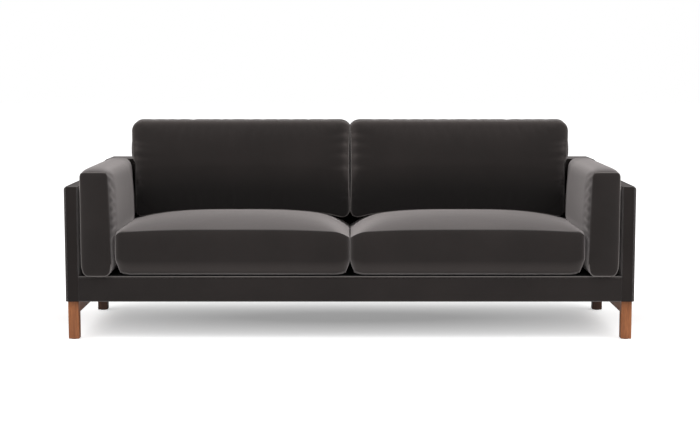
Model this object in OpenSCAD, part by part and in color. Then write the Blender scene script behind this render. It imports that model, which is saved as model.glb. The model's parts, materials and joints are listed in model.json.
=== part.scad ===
// A two-cushion sofa: a thin upholstered shell on wooden legs, a sprung seat frame inside it,
// boxed arm pads, an inner back, and loose seat and back cushions that lift off.
// Millimetres, +Z up, the front faces -Y. The origin is on the floor under the middle of the sofa.

/* [Overall] */
// Width over the two outer side panels
sofa_w = 2200; // [1900:10:2500]
// Depth from the front of the base to the back of the shell
sofa_d = 846; // [810:2:900]
// Height of the underside above the floor
leg_h = 150; // [120:1:190]

/* [Outer shell] */
// Height of the shell panels, from the underside up
shell_h = 445; // [380:1:500]
// Thickness of an upholstered shell panel
shell_t = 52; // [48:1:64]
// Thickness of the board inside a shell panel
shell_board_t = 34; // [28:1:38]
// Radius of the upper and upright edges of a shell panel
shell_edge_r = 14; // [8:1:18]
// Radius of the lower edges of a shell panel
shell_foot_r = 7; // [4:1:9]

/* [Base] */
// Height of the base between the side panels
base_h = 99; // [88:1:120]
// Thickness of the front, spring and rear rails
rail_t = 35; // [28:1:42]
// Width of the side rails under the arm pads
side_rail_w = 40; // [30:1:50]
// Height of the centre rail
centre_rail_h = 60; // [45:1:66]
// Width of the centre rail
centre_rail_w = 40; // [30:1:60]
// Leg of a corner block
corner_block = 70; // [50:1:90]
// Height of a corner block
corner_block_h = 50; // [35:1:60]
// Thickness of the padding on the base front
base_pad_t = 12; // [8:1:16]
// How far the base padding reaches back over the front rail
base_lap = 24; // [18:1:28]
// Radius of the upper front edge of the base
base_edge_r = 8; // [5:1:10]

/* [Seat deck] */
// Number of zigzag seat springs
seat_spring_count = 12; // [8:1:16]
// Wire diameter of the zigzag springs
wire_d = 3.5; // [2.5:0.1:4]
// Width of a zigzag spring
spring_w = 52; // [40:1:60]
// Distance between the bars of a zigzag spring
spring_pitch = 40; // [30:1:44]
// Length of a spring clip along the spring
clip_l = 18; // [12:1:20]
// Width of a spring clip
clip_w = 30; // [20:1:36]
// Thickness of the clip steel
clip_t = 1.5; // [1:0.1:2]
// Thickness of the deck pad
deck_pad_t = 6.3; // [5:0.1:8]
// Thickness of the deck cloth
deck_cloth_t = 1.7; // [1.2:0.1:2.4]
// Thickness of the dust cover
dust_t = 1; // [0.8:0.1:1.6]

/* [Arm pads] */
// Height of the front panel's top above the base
arm_h = 402; // [340:1:420]
// Width of the front panel of an arm pad near the seat
arm_w = 120; // [100:1:140]
// How much narrower the front panel is at its top
arm_lean = 18; // [0:1:26]
// Distance between the shell and the outer seam of an arm pad
arm_gap = 18; // [12:1:24]
// How far an arm pad's inner side swells towards the seat
arm_swell_in = 8; // [4:1:10]
// How far the top of an arm pad swells up
arm_swell_up = 15; // [6:1:20]
// Radius of the lower corners of the front panel
arm_foot_r = 26; // [16:1:32]
// Radius of the upper corners of the front panel
arm_top_r = 16; // [8:1:20]
// Thickness of the board inside an arm pad
arm_board_t = 20; // [16:1:26]
// Least padding between the seams and the foam of an arm pad
arm_wrap_t = 14; // [12:1:18]

/* [Inner back] */
// How much higher the inner back is than the front panels of the arm pads
back_rise = 11; // [0:1:50]
// Thickness of the inner back
back_t = 172; // [150:1:190]
// Radius of the upper edges of the inner back
back_edge_r = 28; // [16:1:36]
// Depth of the back posts and rails
post_d = 60; // [45:1:70]
// Width of a back post
post_w = 45; // [35:1:60]
// Height of the back rails
back_rail_h = 60; // [45:1:80]
// Thickness of the foam over the top rail
back_cap_t = 20; // [14:1:30]
// Number of zigzag springs in the back
back_spring_count = 8; // [6:1:10]

/* [Seat cushions] */
// Height of the corner seam of a seat cushion above its underside
seat_h = 168; // [150:1:190]
// Extra height of the crown in the middle
seat_crown = 48; // [30:1:60]
// How far the cushion and arm fronts stand proud of the base
proud = 14; // [8:1:20]
// How much of that is swell of the front strip
front_swell = 8; // [4:1:8]
// Plan radius of the upright corners
seat_corner_r = 16; // [10:1:30]
// How far the sides are drawn in between the corners
seat_pull = 9; // [4:1:12]
// Height of the lower seam above the underside
seat_roll = 12; // [8:1:20]
// How far the lower corners are drawn up
corner_lift = 36; // [15:1:45]
// Length over which the lower corners are drawn up
corner_tuck = 62; // [40:1:80]
// How far the seam drops at the upper corner beside the arm
top_corner_drop = 24; // [10:1:28]
// How far the top drops beside the other seat cushion, at the front
shoulder_drop = 20; // [10:1:28]
// How much further it drops there below the back cushion
shoulder_fall = 16; // [0:1:20]
// Width of that drop at the front
shoulder_w = 60; // [40:1:80]
// Distance from the cover's side seams to the foam core
core_inset = 46; // [40:1:60]

/* [Back cushions] */
// Height of the upper seam of a back cushion above the seat cushion's corner seam
back_cushion_h = 411; // [360:1:430]
// Depth of the strip between the front and rear seams
back_cushion_t = 136; // [110:1:140]
// Crown of the front face
back_crown = 26; // [15:1:36]
// Crown of the rear face before it is pressed flat
rear_crown = 16; // [12:1:22]
// Radius of the front view's corners
back_corner_r = 36; // [24:1:44]
// How far the sides are drawn in between the corners
back_pull = 5; // [3:1:8]
// How much lower the upper seam is behind than in front
back_fall = 10; // [0:1:16]

/* [Legs] */
// Width of a square leg
leg_w = 41; // [36:1:44]
// Distance from the shell's side to a leg
leg_side_inset = 8; // [6:1:12]
// Distance from the base front to the front legs
leg_front_inset = 11; // [8:1:30]
// Distance between the front faces of the front and rear legs
leg_spread = 682; // [620:1:700]
// Height of the leg rail
leg_rail_h = 45; // [38:1:60]
// Edge radius of the legs
leg_edge_r = 3; // [2:0.5:5]
// Diameter of a floor glide
glide_d = 24; // [18:1:30]
// Height of a floor glide
glide_h = 3; // [2:0.5:5]

/* [Fastenings] */
// Diameter of a dowel
dowel_d = 8; // [6:1:10]
// Length of a dowel
dowel_l = 40; // [30:1:50]
// Thread diameter of the bolts
bolt_d = 8; // [6:1:8]
// Head diameter of the bolts
bolt_head_d = 13; // [11:1:14]
// Outer diameter of a threaded insert
insert_d = 12; // [11:0.5:14]
// Length of a threaded insert
insert_l = 25; // [18:1:30]
// Diameter of the shell screws
screw_d = 6; // [4:0.5:7]
// Length of the shell screws
screw_l = 80; // [70:1:90]

/* [Zips] */
// Height of the zip tape
zip_h = 22; // [18:1:26]
// Thickness of the zip tape
zip_t = 2; // [1.5:0.1:2.2]
// Depth of the groove that the zip lies in
zip_groove = 7; // [6.5:0.1:8]
// Length of the zip slider
slider_l = 12; // [9:1:16]
// Thickness of the zip slider
slider_t = 3; // [2.4:0.1:3.2]

/* [Cloth and clearances] */
// Thickness of the cover cloth with its lining
cloth_t = 2; // [1.5:0.1:3]
// Thickness of a cushion's cover with its quilted lining
skin_t = 4; // [4:0.5:6]
// Clearance under and behind a loose cushion
soft_gap = 0.3; // [0.2:0.1:0.5]
// Clearance between a cushion and what stands beside it
side_gap = 3; // [2.5:0.1:5]
// Clearance between a back cushion and the crown that it stands on
crown_gap = 0.9; // [0.8:0.1:1.4]
// Play of the zip slider
zip_play = 0.2; // [0.1:0.05:0.3]
// Play round a bolt or a screw
bolt_play = 0.5; // [0.3:0.1:0.8]

/* [Hidden] */
$fn = 32;
overrun = 1;

velvet = "#3d3a3a";
walnut = "#96663f";
timber = "#c9ab7c";
board = "#c2a06a";
foam_colour = "#e8dfb8";
wadding = "#f2f0ea";
steel = "#9a9da1";
black_cloth = "#1d1d1f";
dark_plastic = "#2a2725";

half_w = sofa_w / 2;
front_y = (proud - sofa_d) / 2;
shell_in = half_w - shell_t;
shell_back = sofa_d - shell_t;
shell_pad_t = (shell_t - shell_board_t) / 2 - cloth_t;
shell_board_in = shell_in + cloth_t + shell_pad_t;
shell_board_front = cloth_t + shell_pad_t;
shell_board_h = shell_h - 2 * cloth_t - shell_pad_t;
back_board_y = shell_back + cloth_t + shell_pad_t;

base_top = leg_h + base_h;
rail_z = leg_h + dust_t;
rail_y = cloth_t + base_pad_t;
deck_z = base_top - deck_cloth_t - deck_pad_t;
rail_top = deck_z - clip_t - wire_d;
low_rail_h = rail_top - rail_z;
high_rail_h = base_top - rail_z;
back_front = shell_back - back_t;
back_h = arm_h + back_rise;
spring_rail_y = back_front - rail_t;
rear_rail_y = shell_back - rail_t;

arm_out = shell_in - arm_gap;
arm_in = arm_out - arm_w;
arm_mid = (arm_in + arm_out) / 2;
arm_core_in = arm_in + arm_lean + arm_wrap_t;
arm_core_w = arm_out - arm_wrap_t - arm_core_in;
arm_board_x = arm_core_in + arm_core_w / 2;
side_rail_in = arm_board_x - side_rail_w / 2;
front_seam = front_swell - proud;
arm_rear = back_front - soft_gap;
arm_swell_out = arm_gap - soft_gap;

leg_out = half_w - leg_side_inset;
leg_in = leg_out - leg_w;
leg_mid = leg_out - leg_w / 2;
rear_leg_y = leg_front_inset + leg_spread;
leg_rail_y = leg_front_inset + leg_w;
leg_rail_l = leg_spread - leg_w;
leg_rail_z = leg_h - leg_rail_h;

// How far a spring's bar runs into its bend
bend_lap = 0.5;
// Shares of the leg rail's length where its bolts stand
leg_bolt_shares = [0.12, 0.5, 0.88];
// Shares of the leg rail's height where its dowels lie
dowel_shares = [0.3, 0.72];
// Share of the leg rail's height that a bolt head is sunk
counterbore_share = 0.45;
// Shares of a rail's height where the frame bolts lie
frame_bolt_shares = [0.3, 0.7];
// Shares of the shell's height where the shell screws lie
screw_shares = [0.15, 0.5, 0.85];
// Share of a bolt's diameter that its head is high
head_share = 0.9;
// Share of the screw head's diameter over the shank's
screw_head_share = 1.8;
// Share of a leg's height that a glide's pin reaches
glide_pin_share = 0.12;
// Share of the glide's diameter that its pin is thick
glide_pin_d_share = 0.22;
// Shares of the arm pad's length where its bolts stand
arm_bolt_shares = [0.2, 0.8];
// Share of a cushion's width that its zip is long
zip_length_share = 0.8;
// Shares of the width where the back posts stand
post_shares = [-1, -0.34, 0.34, 1];

// Shares of a form's half size at which its crown would reach zero
crown_reach_share = 1.05;
seat_side_reach_share = 1;
seat_front_reach_share = 1.095;
crown_power = 3.2;
// Share of a seat cushion's depth over which its shoulder deepens, against its half depth
shoulder_reach_share = 0.64;

half_turn = 180;
quarter_turn = 90;

// Steps of a cushion's surface: along the width, along the depth, in a corner
fine_steps = [11, 7, 3];
plain_steps = [5, 4, 1];
arm_steps = [4, 8, 2];
// Shares of the way from the middle of a face to its outline. A lower face ends short of it,
// so that the strip rolls in at its foot
upper_shares = [0.3, 0.55, 0.74, 0.87, 0.95, 1];
lower_shares = [0.96, 0.9, 0.78];
plain_upper_shares = [0.5, 0.85, 1];
plain_lower_shares = [0.96, 0.88];
panel_shares = [0.6, 0.9, 1];
panel_rear_shares = [1, 0.7];
strip_rows = 3;
arm_rows = 6;

seat_hw = (arm_in - side_gap - soft_gap) / 2;
seat_x = soft_gap + seat_hw;
seat_rear = back_front - soft_gap;
seat_hd = (seat_rear - front_swell - front_seam) / 2;
seat_y = front_seam + seat_hd;
seat_z = base_top + soft_gap;

back_seam_y = back_front - soft_gap - rear_crown + front_swell;
back_cushion_y = back_seam_y - back_cushion_t;
back_hw = (arm_in - side_gap - back_pull - soft_gap) / 2;
back_x = soft_gap + back_hw;
back_hh = back_cushion_h / 2;

function clamp_share(t) = min(1, max(0, t));
function crown_at(t, reach = crown_reach_share) = 1 - pow(abs(t) / reach, crown_power);

// How far a point lies past the start of a corner's tuck, squared
function tuck_at(x, half, length) = pow(clamp_share((abs(x) - half + length) / length), 2);

// Points on a quarter circle
function corner_points(centre, r, start, steps) =
    [for (i = [0:steps]) let (a = start + quarter_turn * i / steps) centre + r * [cos(a), sin(a)]];

// Points between two ends of a side, drawn in by the given vector in the middle
function side_points(p, q, pull, steps) =
    [for (i = [1:steps - 1]) let (t = 2 * i / steps - 1) p + (q - p) * i / steps + pull * (1 - t * t)];

// A rounded outline, counter-clockwise. radii: upper right, upper left, lower left, lower right
function outline(hw, hd, radii, pull, steps) =
    let (
        a = corner_points([hw - radii[0], hd - radii[0]], radii[0], 0, steps[2]),
        b = corner_points([radii[1] - hw, hd - radii[1]], radii[1], quarter_turn, steps[2]),
        c = corner_points([radii[2] - hw, radii[2] - hd], radii[2], 2 * quarter_turn, steps[2]),
        d = corner_points([hw - radii[3], radii[3] - hd], radii[3], 3 * quarter_turn, steps[2])
    )
    concat(
        a, side_points(a[steps[2]], b[0], [0, -pull], steps[0]),
        b, side_points(b[steps[2]], c[0], [pull, 0], steps[1]),
        c, side_points(c[steps[2]], d[0], [0, pull], steps[0]),
        d, side_points(d[steps[2]], a[0], [-pull, 0], steps[1])
    );

// Points of a boxed cushion: an upper face, a strip and a lower face round one outline
function cushion_points(edge, upper, lower, swell, uppers, lowers) =
    concat(
        [[0, 0, upper(0, 0)]],
        [for (s = uppers) for (p = edge) [p.x * s, p.y * s, upper(p.x * s, p.y * s)]],
        [for (k = [1:strip_rows]) for (p = edge)
            let (t = k / (strip_rows + 1), top = upper(p.x, p.y), low = lower(p.x, p.y))
            swell(p, sin(half_turn * t), top + (low - top) * t)],
        [for (s = lowers) for (p = edge) [p.x * s, p.y * s, lower(p.x * s, p.y * s)]],
        [[0, 0, lower(0, 0)]]
    );

// Triangles that join the rings of such a cushion, n points to a ring
function cushion_faces(n, rings) =
    concat(
        [for (i = [0:n - 1]) [0, 1 + (i + 1) % n, 1 + i]],
        [for (r = [0:rings - 2]) for (i = [0:n - 1])
            let (a = 1 + r * n, b = a + n, j = (i + 1) % n)
            each [[a + i, b + j, b + i], [a + i, a + j, b + j]]],
        [for (i = [0:n - 1])
            let (a = 1 + (rings - 1) * n)
            [a + i, a + (i + 1) % n, a + n]]
    );

module cushion_solid(points, edge, uppers, lowers) {
    polyhedron(
        points,
        cushion_faces(len(edge), len(uppers) + strip_rows + len(lowers)),
        convexity = 4
    );
}

// Height of a seat cushion's crown above its underside, t in from the cover's outside
function seat_crown_at(x, y, t) =
    seat_h - t + seat_crown * crown_at(min(1, abs(x / seat_hw)), seat_side_reach_share)
    * crown_at(y / seat_hd, seat_front_reach_share);

// How far the top falls below its crown: at the corners beside the arm, and beside the other cushion
function seat_fall_at(x, y) =
    let (back = clamp_share((y / seat_hd + 1) * shoulder_reach_share))
    x > 0
        ? top_corner_drop * tuck_at(x, seat_hw, top_corner_drop) * tuck_at(y, seat_hd, corner_tuck)
        : (shoulder_drop + shoulder_fall * back) * tuck_at(x, seat_hw, shoulder_w * (1 + back));

function seat_top(x, y, t) = seat_crown_at(x, y, t) - seat_fall_at(x, y);

function seat_edge_share(v, half) = tuck_at(v, half, corner_tuck);

function seat_underside(x, y, t) =
    t + seat_roll * max(seat_edge_share(x, seat_hw), seat_edge_share(y, seat_hd))
    + corner_lift * seat_edge_share(x, seat_hw) * seat_edge_share(y, seat_hd);

function seat_swell(p, share, z, limit) =
    [p.x, min(p.y * (1 + share * front_swell / seat_hd), limit), z];

// Lowest line of a back cushion over the crown of the seat cushion, from the cushion's middle
function back_sill(x) =
    seat_crown_at(x + back_x - seat_x, back_cushion_y - seat_y, 0) - seat_h + crown_gap - back_hh;

// Lifts a back cushion's outline onto the seat's crown
function on_crown(x, v) = v + (1 - v / back_hh) * (back_sill(x) + back_hh) / 2;

// Moves to the frame whose y is zero at the front of the base
module from_front() {
    translate([0, front_y, 0]) children();
}

// Draws the right-hand form, or its mirror image on the left
module on_side(left) {
    mirror([left ? 1 : 0, 0, 0]) from_front() children();
}

// Extrudes a Y-Z outline along X, or an X-Z outline along Y
module along_x(length) {
    rotate([quarter_turn, 0, quarter_turn]) linear_extrude(length) children();
}

module along_y(length) {
    translate([0, length, 0]) rotate([quarter_turn, 0, 0]) linear_extrude(length) children();
}

// A rectangle with its own radii at the top and at the foot
module soft_rect(w, h, top_r, foot_r) {
    translate([0, foot_r]) square([w, h - foot_r - top_r]);
    translate([top_r, h - 2 * top_r]) square([w - 2 * top_r, 2 * top_r]);
    translate([foot_r, 0]) square([w - 2 * foot_r, 2 * foot_r]);
    for (x = [top_r, w - top_r]) translate([x, h - top_r]) circle(top_r);
    for (x = [foot_r, w - foot_r]) translate([x, foot_r]) circle(foot_r);
}

// Outer form of a side panel of the shell, drawn in by t all round
module side_panel_form(t) {
    w = shell_t - 2 * t;
    d = sofa_d - 2 * t;
    intersection() {
        translate([shell_in + t, t, leg_h + t])
            along_y(d) soft_rect(w, shell_h - 2 * t, shell_edge_r - t, shell_foot_r - t);
        translate([shell_in + t, t, leg_h])
            linear_extrude(shell_h) soft_rect(w, d, shell_edge_r - t, shell_edge_r - t);
    }
}

module back_panel_form(t) {
    translate([-shell_in, shell_back + t, leg_h + t])
        along_x(2 * shell_in)
            soft_rect(shell_t - 2 * t, shell_h - 2 * t, shell_edge_r - t, shell_foot_r - t);
}

module side_board_form() {
    translate([shell_board_in, shell_board_front, leg_h + cloth_t])
        cube([shell_board_t, sofa_d - 2 * shell_board_front, shell_board_h]);
}

module back_board_form() {
    translate([-shell_board_in, back_board_y, leg_h + cloth_t])
        cube([2 * shell_board_in, shell_board_t, shell_board_h]);
}

// Places children at each leg bolt of the right side, at the underside
module at_leg_bolts() {
    for (s = leg_bolt_shares) translate([leg_mid, leg_rail_y + s * leg_rail_l, leg_h]) children();
}

// Places children at each frame bolt of the right side, pointing out along X
module at_frame_bolts() {
    for (y = [rail_y + rail_t / 2, rear_rail_y + rail_t / 2], s = frame_bolt_shares)
        translate([shell_in, y, rail_z + s * low_rail_h]) rotate([0, quarter_turn, 0]) children();
}

// Places children at each shell screw of the right side, pointing in along X
module at_shell_screws() {
    for (s = screw_shares)
        translate([shell_board_in + shell_board_t, back_board_y + shell_board_t / 2, leg_h + s * shell_h])
            rotate([0, -quarter_turn, 0]) children();
}

// Places children at each arm bolt of the right side, pointing up
module at_arm_bolts() {
    for (s = arm_bolt_shares) translate([arm_board_x, s * arm_rear, rail_z]) children();
}

module bolt_hole(d, from, to) {
    translate([0, 0, from]) cylinder(d = d, h = to - from);
}

// A bolt along +Z with its head below zero
module bolt(length) {
    translate([0, 0, -head_share * bolt_d]) cylinder(d = bolt_head_d, h = head_share * bolt_d);
    cylinder(d = bolt_d, h = length);
}

frame_bolt_grip = rail_t;
frame_bolt_reach = cloth_t + shell_pad_t + shell_board_t / 2;
arm_bolt_reach = high_rail_h + arm_h / 4;
arm_bolt_sink = high_rail_h / 4;

// Legs and leg rails

module leg(y, left, toward_rail) {
    leg_l = leg_h - glide_h;
    on_side(left) difference() {
        translate([leg_in, y, glide_h])
            linear_extrude(leg_l) soft_rect(leg_w, leg_w, leg_edge_r, leg_edge_r);
        translate([leg_mid, y + leg_w / 2, glide_h - overrun])
            cylinder(d = glide_pin_d_share * glide_d, h = glide_pin_share * leg_h + overrun);
        for (s = dowel_shares)
            translate([leg_mid, y + leg_w / 2, leg_rail_z + s * leg_rail_h])
                rotate([-toward_rail * quarter_turn, 0, 0])
                    bolt_hole(dowel_d, leg_w / 2 - dowel_l / 2, leg_w / 2 + overrun);
    }
}

module front_left_leg() { color(walnut) leg(leg_front_inset, true, 1); }
module front_right_leg() { color(walnut) leg(leg_front_inset, false, 1); }
module rear_left_leg() { color(walnut) leg(rear_leg_y, true, -1); }
module rear_right_leg() { color(walnut) leg(rear_leg_y, false, -1); }

module leg_rail(left) {
    on_side(left) difference() {
        translate([leg_in, leg_rail_y, leg_rail_z]) cube([leg_w, leg_rail_l, leg_rail_h]);
        at_leg_bolts() {
            bolt_hole(bolt_d + bolt_play, -leg_rail_h - overrun, overrun);
            bolt_hole(bolt_head_d + 2 * bolt_play, -leg_rail_h - overrun,
                -(1 - counterbore_share) * leg_rail_h);
        }
        for (s = dowel_shares, y = [leg_rail_y, rear_leg_y])
            translate([leg_mid, y, leg_rail_z + s * leg_rail_h])
                rotate([quarter_turn, 0, 0]) bolt_hole(dowel_d, -dowel_l / 2, dowel_l / 2);
    }
}

module left_leg_rail() { color(walnut) leg_rail(true); }
module right_leg_rail() { color(walnut) leg_rail(false); }

module leg_dowels() {
    color(timber)
        for (left = [false, true]) on_side(left)
            for (s = dowel_shares, y = [leg_rail_y, rear_leg_y])
                translate([leg_mid, y, leg_rail_z + s * leg_rail_h])
                    rotate([quarter_turn, 0, 0]) bolt_hole(dowel_d, -dowel_l / 2, dowel_l / 2);
}

module floor_glides() {
    color(dark_plastic)
        for (left = [false, true]) on_side(left)
            for (y = [leg_front_inset, rear_leg_y])
                translate([leg_mid, y + leg_w / 2, 0]) {
                    cylinder(d = glide_d, h = glide_h);
                    cylinder(d = glide_pin_d_share * glide_d, h = glide_h + glide_pin_share * leg_h);
                }
}

module leg_bolts() {
    color(steel)
        for (left = [false, true]) on_side(left)
            at_leg_bolts()
                translate([0, 0, -(1 - counterbore_share) * leg_rail_h])
                    bolt((1 - counterbore_share) * leg_rail_h + insert_l);
}

module leg_inserts() {
    color(steel)
        for (left = [false, true]) on_side(left)
            at_leg_bolts() difference() {
                bolt_hole(insert_d, cloth_t, insert_l);
                bolt_hole(bolt_d, 0, insert_l + overrun);
            }
}

// Seat frame

module front_rail() {
    color(timber) from_front() difference() {
        translate([-shell_in, rail_y, rail_z]) cube([2 * shell_in, rail_t, low_rail_h]);
        for (left = [0, 1]) mirror([left, 0, 0])
            at_frame_bolts() bolt_hole(bolt_d, -frame_bolt_grip, overrun);
    }
}

module spring_rail() {
    color(timber) from_front()
        translate([-side_rail_in, spring_rail_y, rail_z]) cube([2 * side_rail_in, rail_t, low_rail_h]);
}

module rear_rail() {
    color(timber) from_front() difference() {
        translate([-shell_in, rear_rail_y, rail_z]) cube([2 * shell_in, rail_t, high_rail_h]);
        for (left = [0, 1]) mirror([left, 0, 0])
            at_frame_bolts() bolt_hole(bolt_d, -frame_bolt_grip, overrun);
    }
}

module side_rail(left) {
    on_side(left) difference() {
        translate([side_rail_in, rail_y + rail_t, rail_z])
            cube([side_rail_w, rear_rail_y - rail_y - rail_t, high_rail_h]);
        at_arm_bolts() {
            bolt_hole(bolt_d + bolt_play, -overrun, high_rail_h + overrun);
            bolt_hole(bolt_head_d + 2 * bolt_play, -overrun, arm_bolt_sink);
        }
    }
}

module left_side_rail() { color(timber) side_rail(true); }
module right_side_rail() { color(timber) side_rail(false); }

module centre_rail() {
    color(timber) from_front()
        translate([-centre_rail_w / 2, rail_y + rail_t, rail_z])
            cube([centre_rail_w, spring_rail_y - rail_y - rail_t, centre_rail_h]);
}

module corner_blocks() {
    color(timber)
        for (left = [false, true]) on_side(left)
            for (end = [[rail_y + rail_t, 1], [spring_rail_y, -1]])
                translate([side_rail_in, end[0], rail_z])
                    linear_extrude(corner_block_h)
                        polygon([[0, 0], [-corner_block, 0], [0, end[1] * corner_block]]);
}

// Zigzag wire from zero to length along +Y, flat on Z = 0, with an odd number of bars
module zigzag(length) {
    bars = 2 * floor((length / spring_pitch - 1) / 2) + 1;
    pitch = length / bars;
    reach = (spring_w - pitch) / 2;
    linear_extrude(wire_d)
        for (i = [0:bars - 1])
            translate([0, (i + 1 / 2) * pitch]) {
                translate([-reach - bend_lap, -wire_d / 2]) square([2 * (reach + bend_lap), wire_d]);
                if (i < bars - 1) mirror([i % 2, 0])
                    translate([reach, pitch / 2]) half_ring(pitch / 2);
            }
}

module half_ring(r) {
    difference() {
        circle(r + wire_d / 2);
        circle(r - wire_d / 2);
        translate([-2 * r - wire_d, -2 * r]) square([2 * r + wire_d, 4 * r]);
    }
}

seat_spring_y = rail_y + base_lap / 2 + clip_t;
seat_spring_l = back_front - clip_t - seat_spring_y;
seat_spring_step = 2 * (side_rail_in - corner_block / 2) / seat_spring_count;
back_spring_y = shell_back - cloth_t - post_d - wire_d;
back_frame_hw = shell_in - soft_gap - back_cap_t - cloth_t;
back_frame_z = base_top + cloth_t;
back_frame_h = back_h - 2 * cloth_t - back_cap_t;
back_spring_z = back_frame_z + back_rail_h / 4;
back_spring_l = back_frame_h - back_rail_h / 2;
back_spring_step = 2 * (back_frame_hw - post_w) / back_spring_count;

// Places children at each seat spring's front end, or at each back spring's foot
module at_seat_springs() {
    for (i = [0:seat_spring_count - 1])
        translate([(i - (seat_spring_count - 1) / 2) * seat_spring_step, seat_spring_y, rail_top])
            children();
}

module at_back_springs() {
    for (i = [0:back_spring_count - 1])
        translate([(i - (back_spring_count - 1) / 2) * back_spring_step,
            back_spring_y + wire_d, back_spring_z])
            rotate([quarter_turn, 0, 0]) children();
}

module seat_springs() {
    color(steel) from_front() at_seat_springs() zigzag(seat_spring_l);
}

module back_springs() {
    color(steel) from_front() at_back_springs() zigzag(back_spring_l);
}

// A folded clip over the end bar of a spring
module spring_clip() {
    translate([-clip_w / 2, 0, wire_d]) cube([clip_w, clip_l, clip_t]);
    translate([-clip_w / 2, 0, 0]) cube([clip_w, clip_t, wire_d + clip_t]);
}

module spring_clips() {
    color(steel) from_front() at_seat_springs() {
        translate([0, -clip_t, 0]) spring_clip();
        translate([0, seat_spring_l + clip_t, 0]) mirror([0, 1, 0]) spring_clip();
    }
}

module deck_pad() {
    color(wadding) from_front()
        translate([-side_rail_in, base_lap, deck_z])
            cube([2 * side_rail_in, back_front - base_lap, deck_pad_t]);
}

module deck_cloth() {
    color(black_cloth) from_front()
        translate([-side_rail_in, base_lap, deck_z + deck_pad_t])
            cube([2 * side_rail_in, back_front - base_lap, deck_cloth_t]);
}

// Outline of the padded base front, drawn in by t
module base_front_outline(t) {
    h = base_h - 2 * t;
    r = base_edge_r - t;
    translate([t, leg_h + t]) {
        square([base_lap - t, h - r]);
        translate([r, 0]) square([base_lap - t - r, h]);
        translate([r, h - r]) circle(r);
    }
}

module base_front_pad() {
    color(wadding) from_front() difference() {
        translate([-shell_in, 0, 0]) along_x(2 * shell_in) base_front_outline(cloth_t);
        translate([-shell_in - overrun, rail_y, leg_h - overrun])
            cube([2 * (shell_in + overrun), rail_t, rail_top - leg_h + overrun]);
    }
}

module base_front_cover() {
    color(velvet) from_front() difference() {
        translate([-shell_in, 0, 0]) along_x(2 * shell_in) base_front_outline(0);
        translate([-shell_in - overrun, 0, 0])
            along_x(2 * (shell_in + overrun)) base_front_outline(cloth_t);
        translate([-shell_in - overrun, rail_y, leg_h - overrun])
            cube([2 * (shell_in + overrun), rail_t, rail_top - leg_h + overrun]);
    }
}

module dust_cover() {
    color(black_cloth) from_front()
        translate([-shell_in, rail_y, leg_h])
            cube([2 * shell_in, shell_back - rail_y, dust_t]);
}

// Outer shell

module side_shell_board(left) {
    on_side(left) difference() {
        side_board_form();
        at_leg_bolts() bolt_hole(insert_d, 0, insert_l);
        at_frame_bolts() bolt_hole(bolt_d, -overrun, frame_bolt_reach);
        at_shell_screws() bolt_hole(screw_d, -overrun, shell_board_t + overrun);
    }
}

module left_shell_board() { color(board) side_shell_board(true); }
module right_shell_board() { color(board) side_shell_board(false); }

module back_shell_board() {
    color(board) from_front() difference() {
        back_board_form();
        for (left = [0, 1]) mirror([left, 0, 0])
            at_shell_screws() bolt_hole(screw_d, -overrun, screw_l);
    }
}

module side_shell_pad(left) {
    on_side(left) difference() {
        side_panel_form(cloth_t);
        side_board_form();
        back_board_form();
        at_frame_bolts() bolt_hole(bolt_d, -overrun, frame_bolt_reach);
        at_shell_screws() bolt_hole(screw_head_share * screw_d, -screw_d, 0);
    }
}

module shell_padding() {
    color(wadding) {
        side_shell_pad(true);
        side_shell_pad(false);
        from_front() difference() {
            back_panel_form(cloth_t);
            back_board_form();
        }
    }
}

module side_shell_cover(left) {
    on_side(left) difference() {
        side_panel_form(0);
        side_panel_form(cloth_t);
        back_board_form();
        at_leg_bolts() bolt_hole(bolt_d + bolt_play, -overrun, cloth_t + overrun);
        at_frame_bolts() bolt_hole(bolt_d, -overrun, frame_bolt_reach);
    }
}

module left_shell_cover() { color(velvet) side_shell_cover(true); }
module right_shell_cover() { color(velvet) side_shell_cover(false); }

module back_shell_cover() {
    color(velvet) from_front() difference() {
        back_panel_form(0);
        back_panel_form(cloth_t);
    }
}

module frame_bolts() {
    color(steel)
        for (left = [false, true]) on_side(left) {
            at_frame_bolts() bolt_hole(bolt_d, -frame_bolt_grip, frame_bolt_reach);
            at_arm_bolts() translate([0, 0, arm_bolt_sink]) bolt(arm_bolt_reach - arm_bolt_sink);
        }
}

module shell_screws() {
    color(steel)
        for (left = [false, true]) on_side(left)
            at_shell_screws() {
                bolt_hole(screw_d, 0, screw_l);
                bolt_hole(screw_head_share * screw_d, -screw_d / 2, 0);
            }
}

// Arm pads

arm_hw = arm_w / 2;
arm_hh = arm_h / 2;
arm_l = arm_rear - front_seam;
arm_radii = [arm_top_r, arm_top_r, arm_foot_r, arm_foot_r];
arm_core_y = front_seam + arm_wrap_t;
arm_core_l = arm_rear - arm_wrap_t - arm_core_y;
arm_core_h = arm_h - arm_wrap_t;
arm_board_h = arm_core_h - arm_wrap_t;

// Leans the inner side of the front panel out towards its top
function arm_lean_at(p) =
    let (rise = clamp_share(p.y / arm_hh), inner = (arm_hw - p.x) / (2 * arm_hw))
    [p.x + arm_lean * inner * rise * rise, p.y];

// A point of the pad's skin, a share t of the way to the inner back, which its top meets at full height
function arm_swell_at(p, t, w) =
    let (
        fill_side = sqrt(max(0, sin(half_turn * t))),
        fill_top = sqrt(sin(quarter_turn * min(1, 2 * t))),
        side = crown_at(p.y / arm_hh) * p.x / arm_hw,
        up = crown_at(p.x / arm_hw) * clamp_share(p.y / arm_hh),
        q = arm_lean_at(p)
    )
    [
        q.x + fill_side * side * (p.x < 0 ? arm_swell_in : arm_swell_out),
        q.y + fill_top * up * arm_swell_up,
        w
    ];

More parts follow.
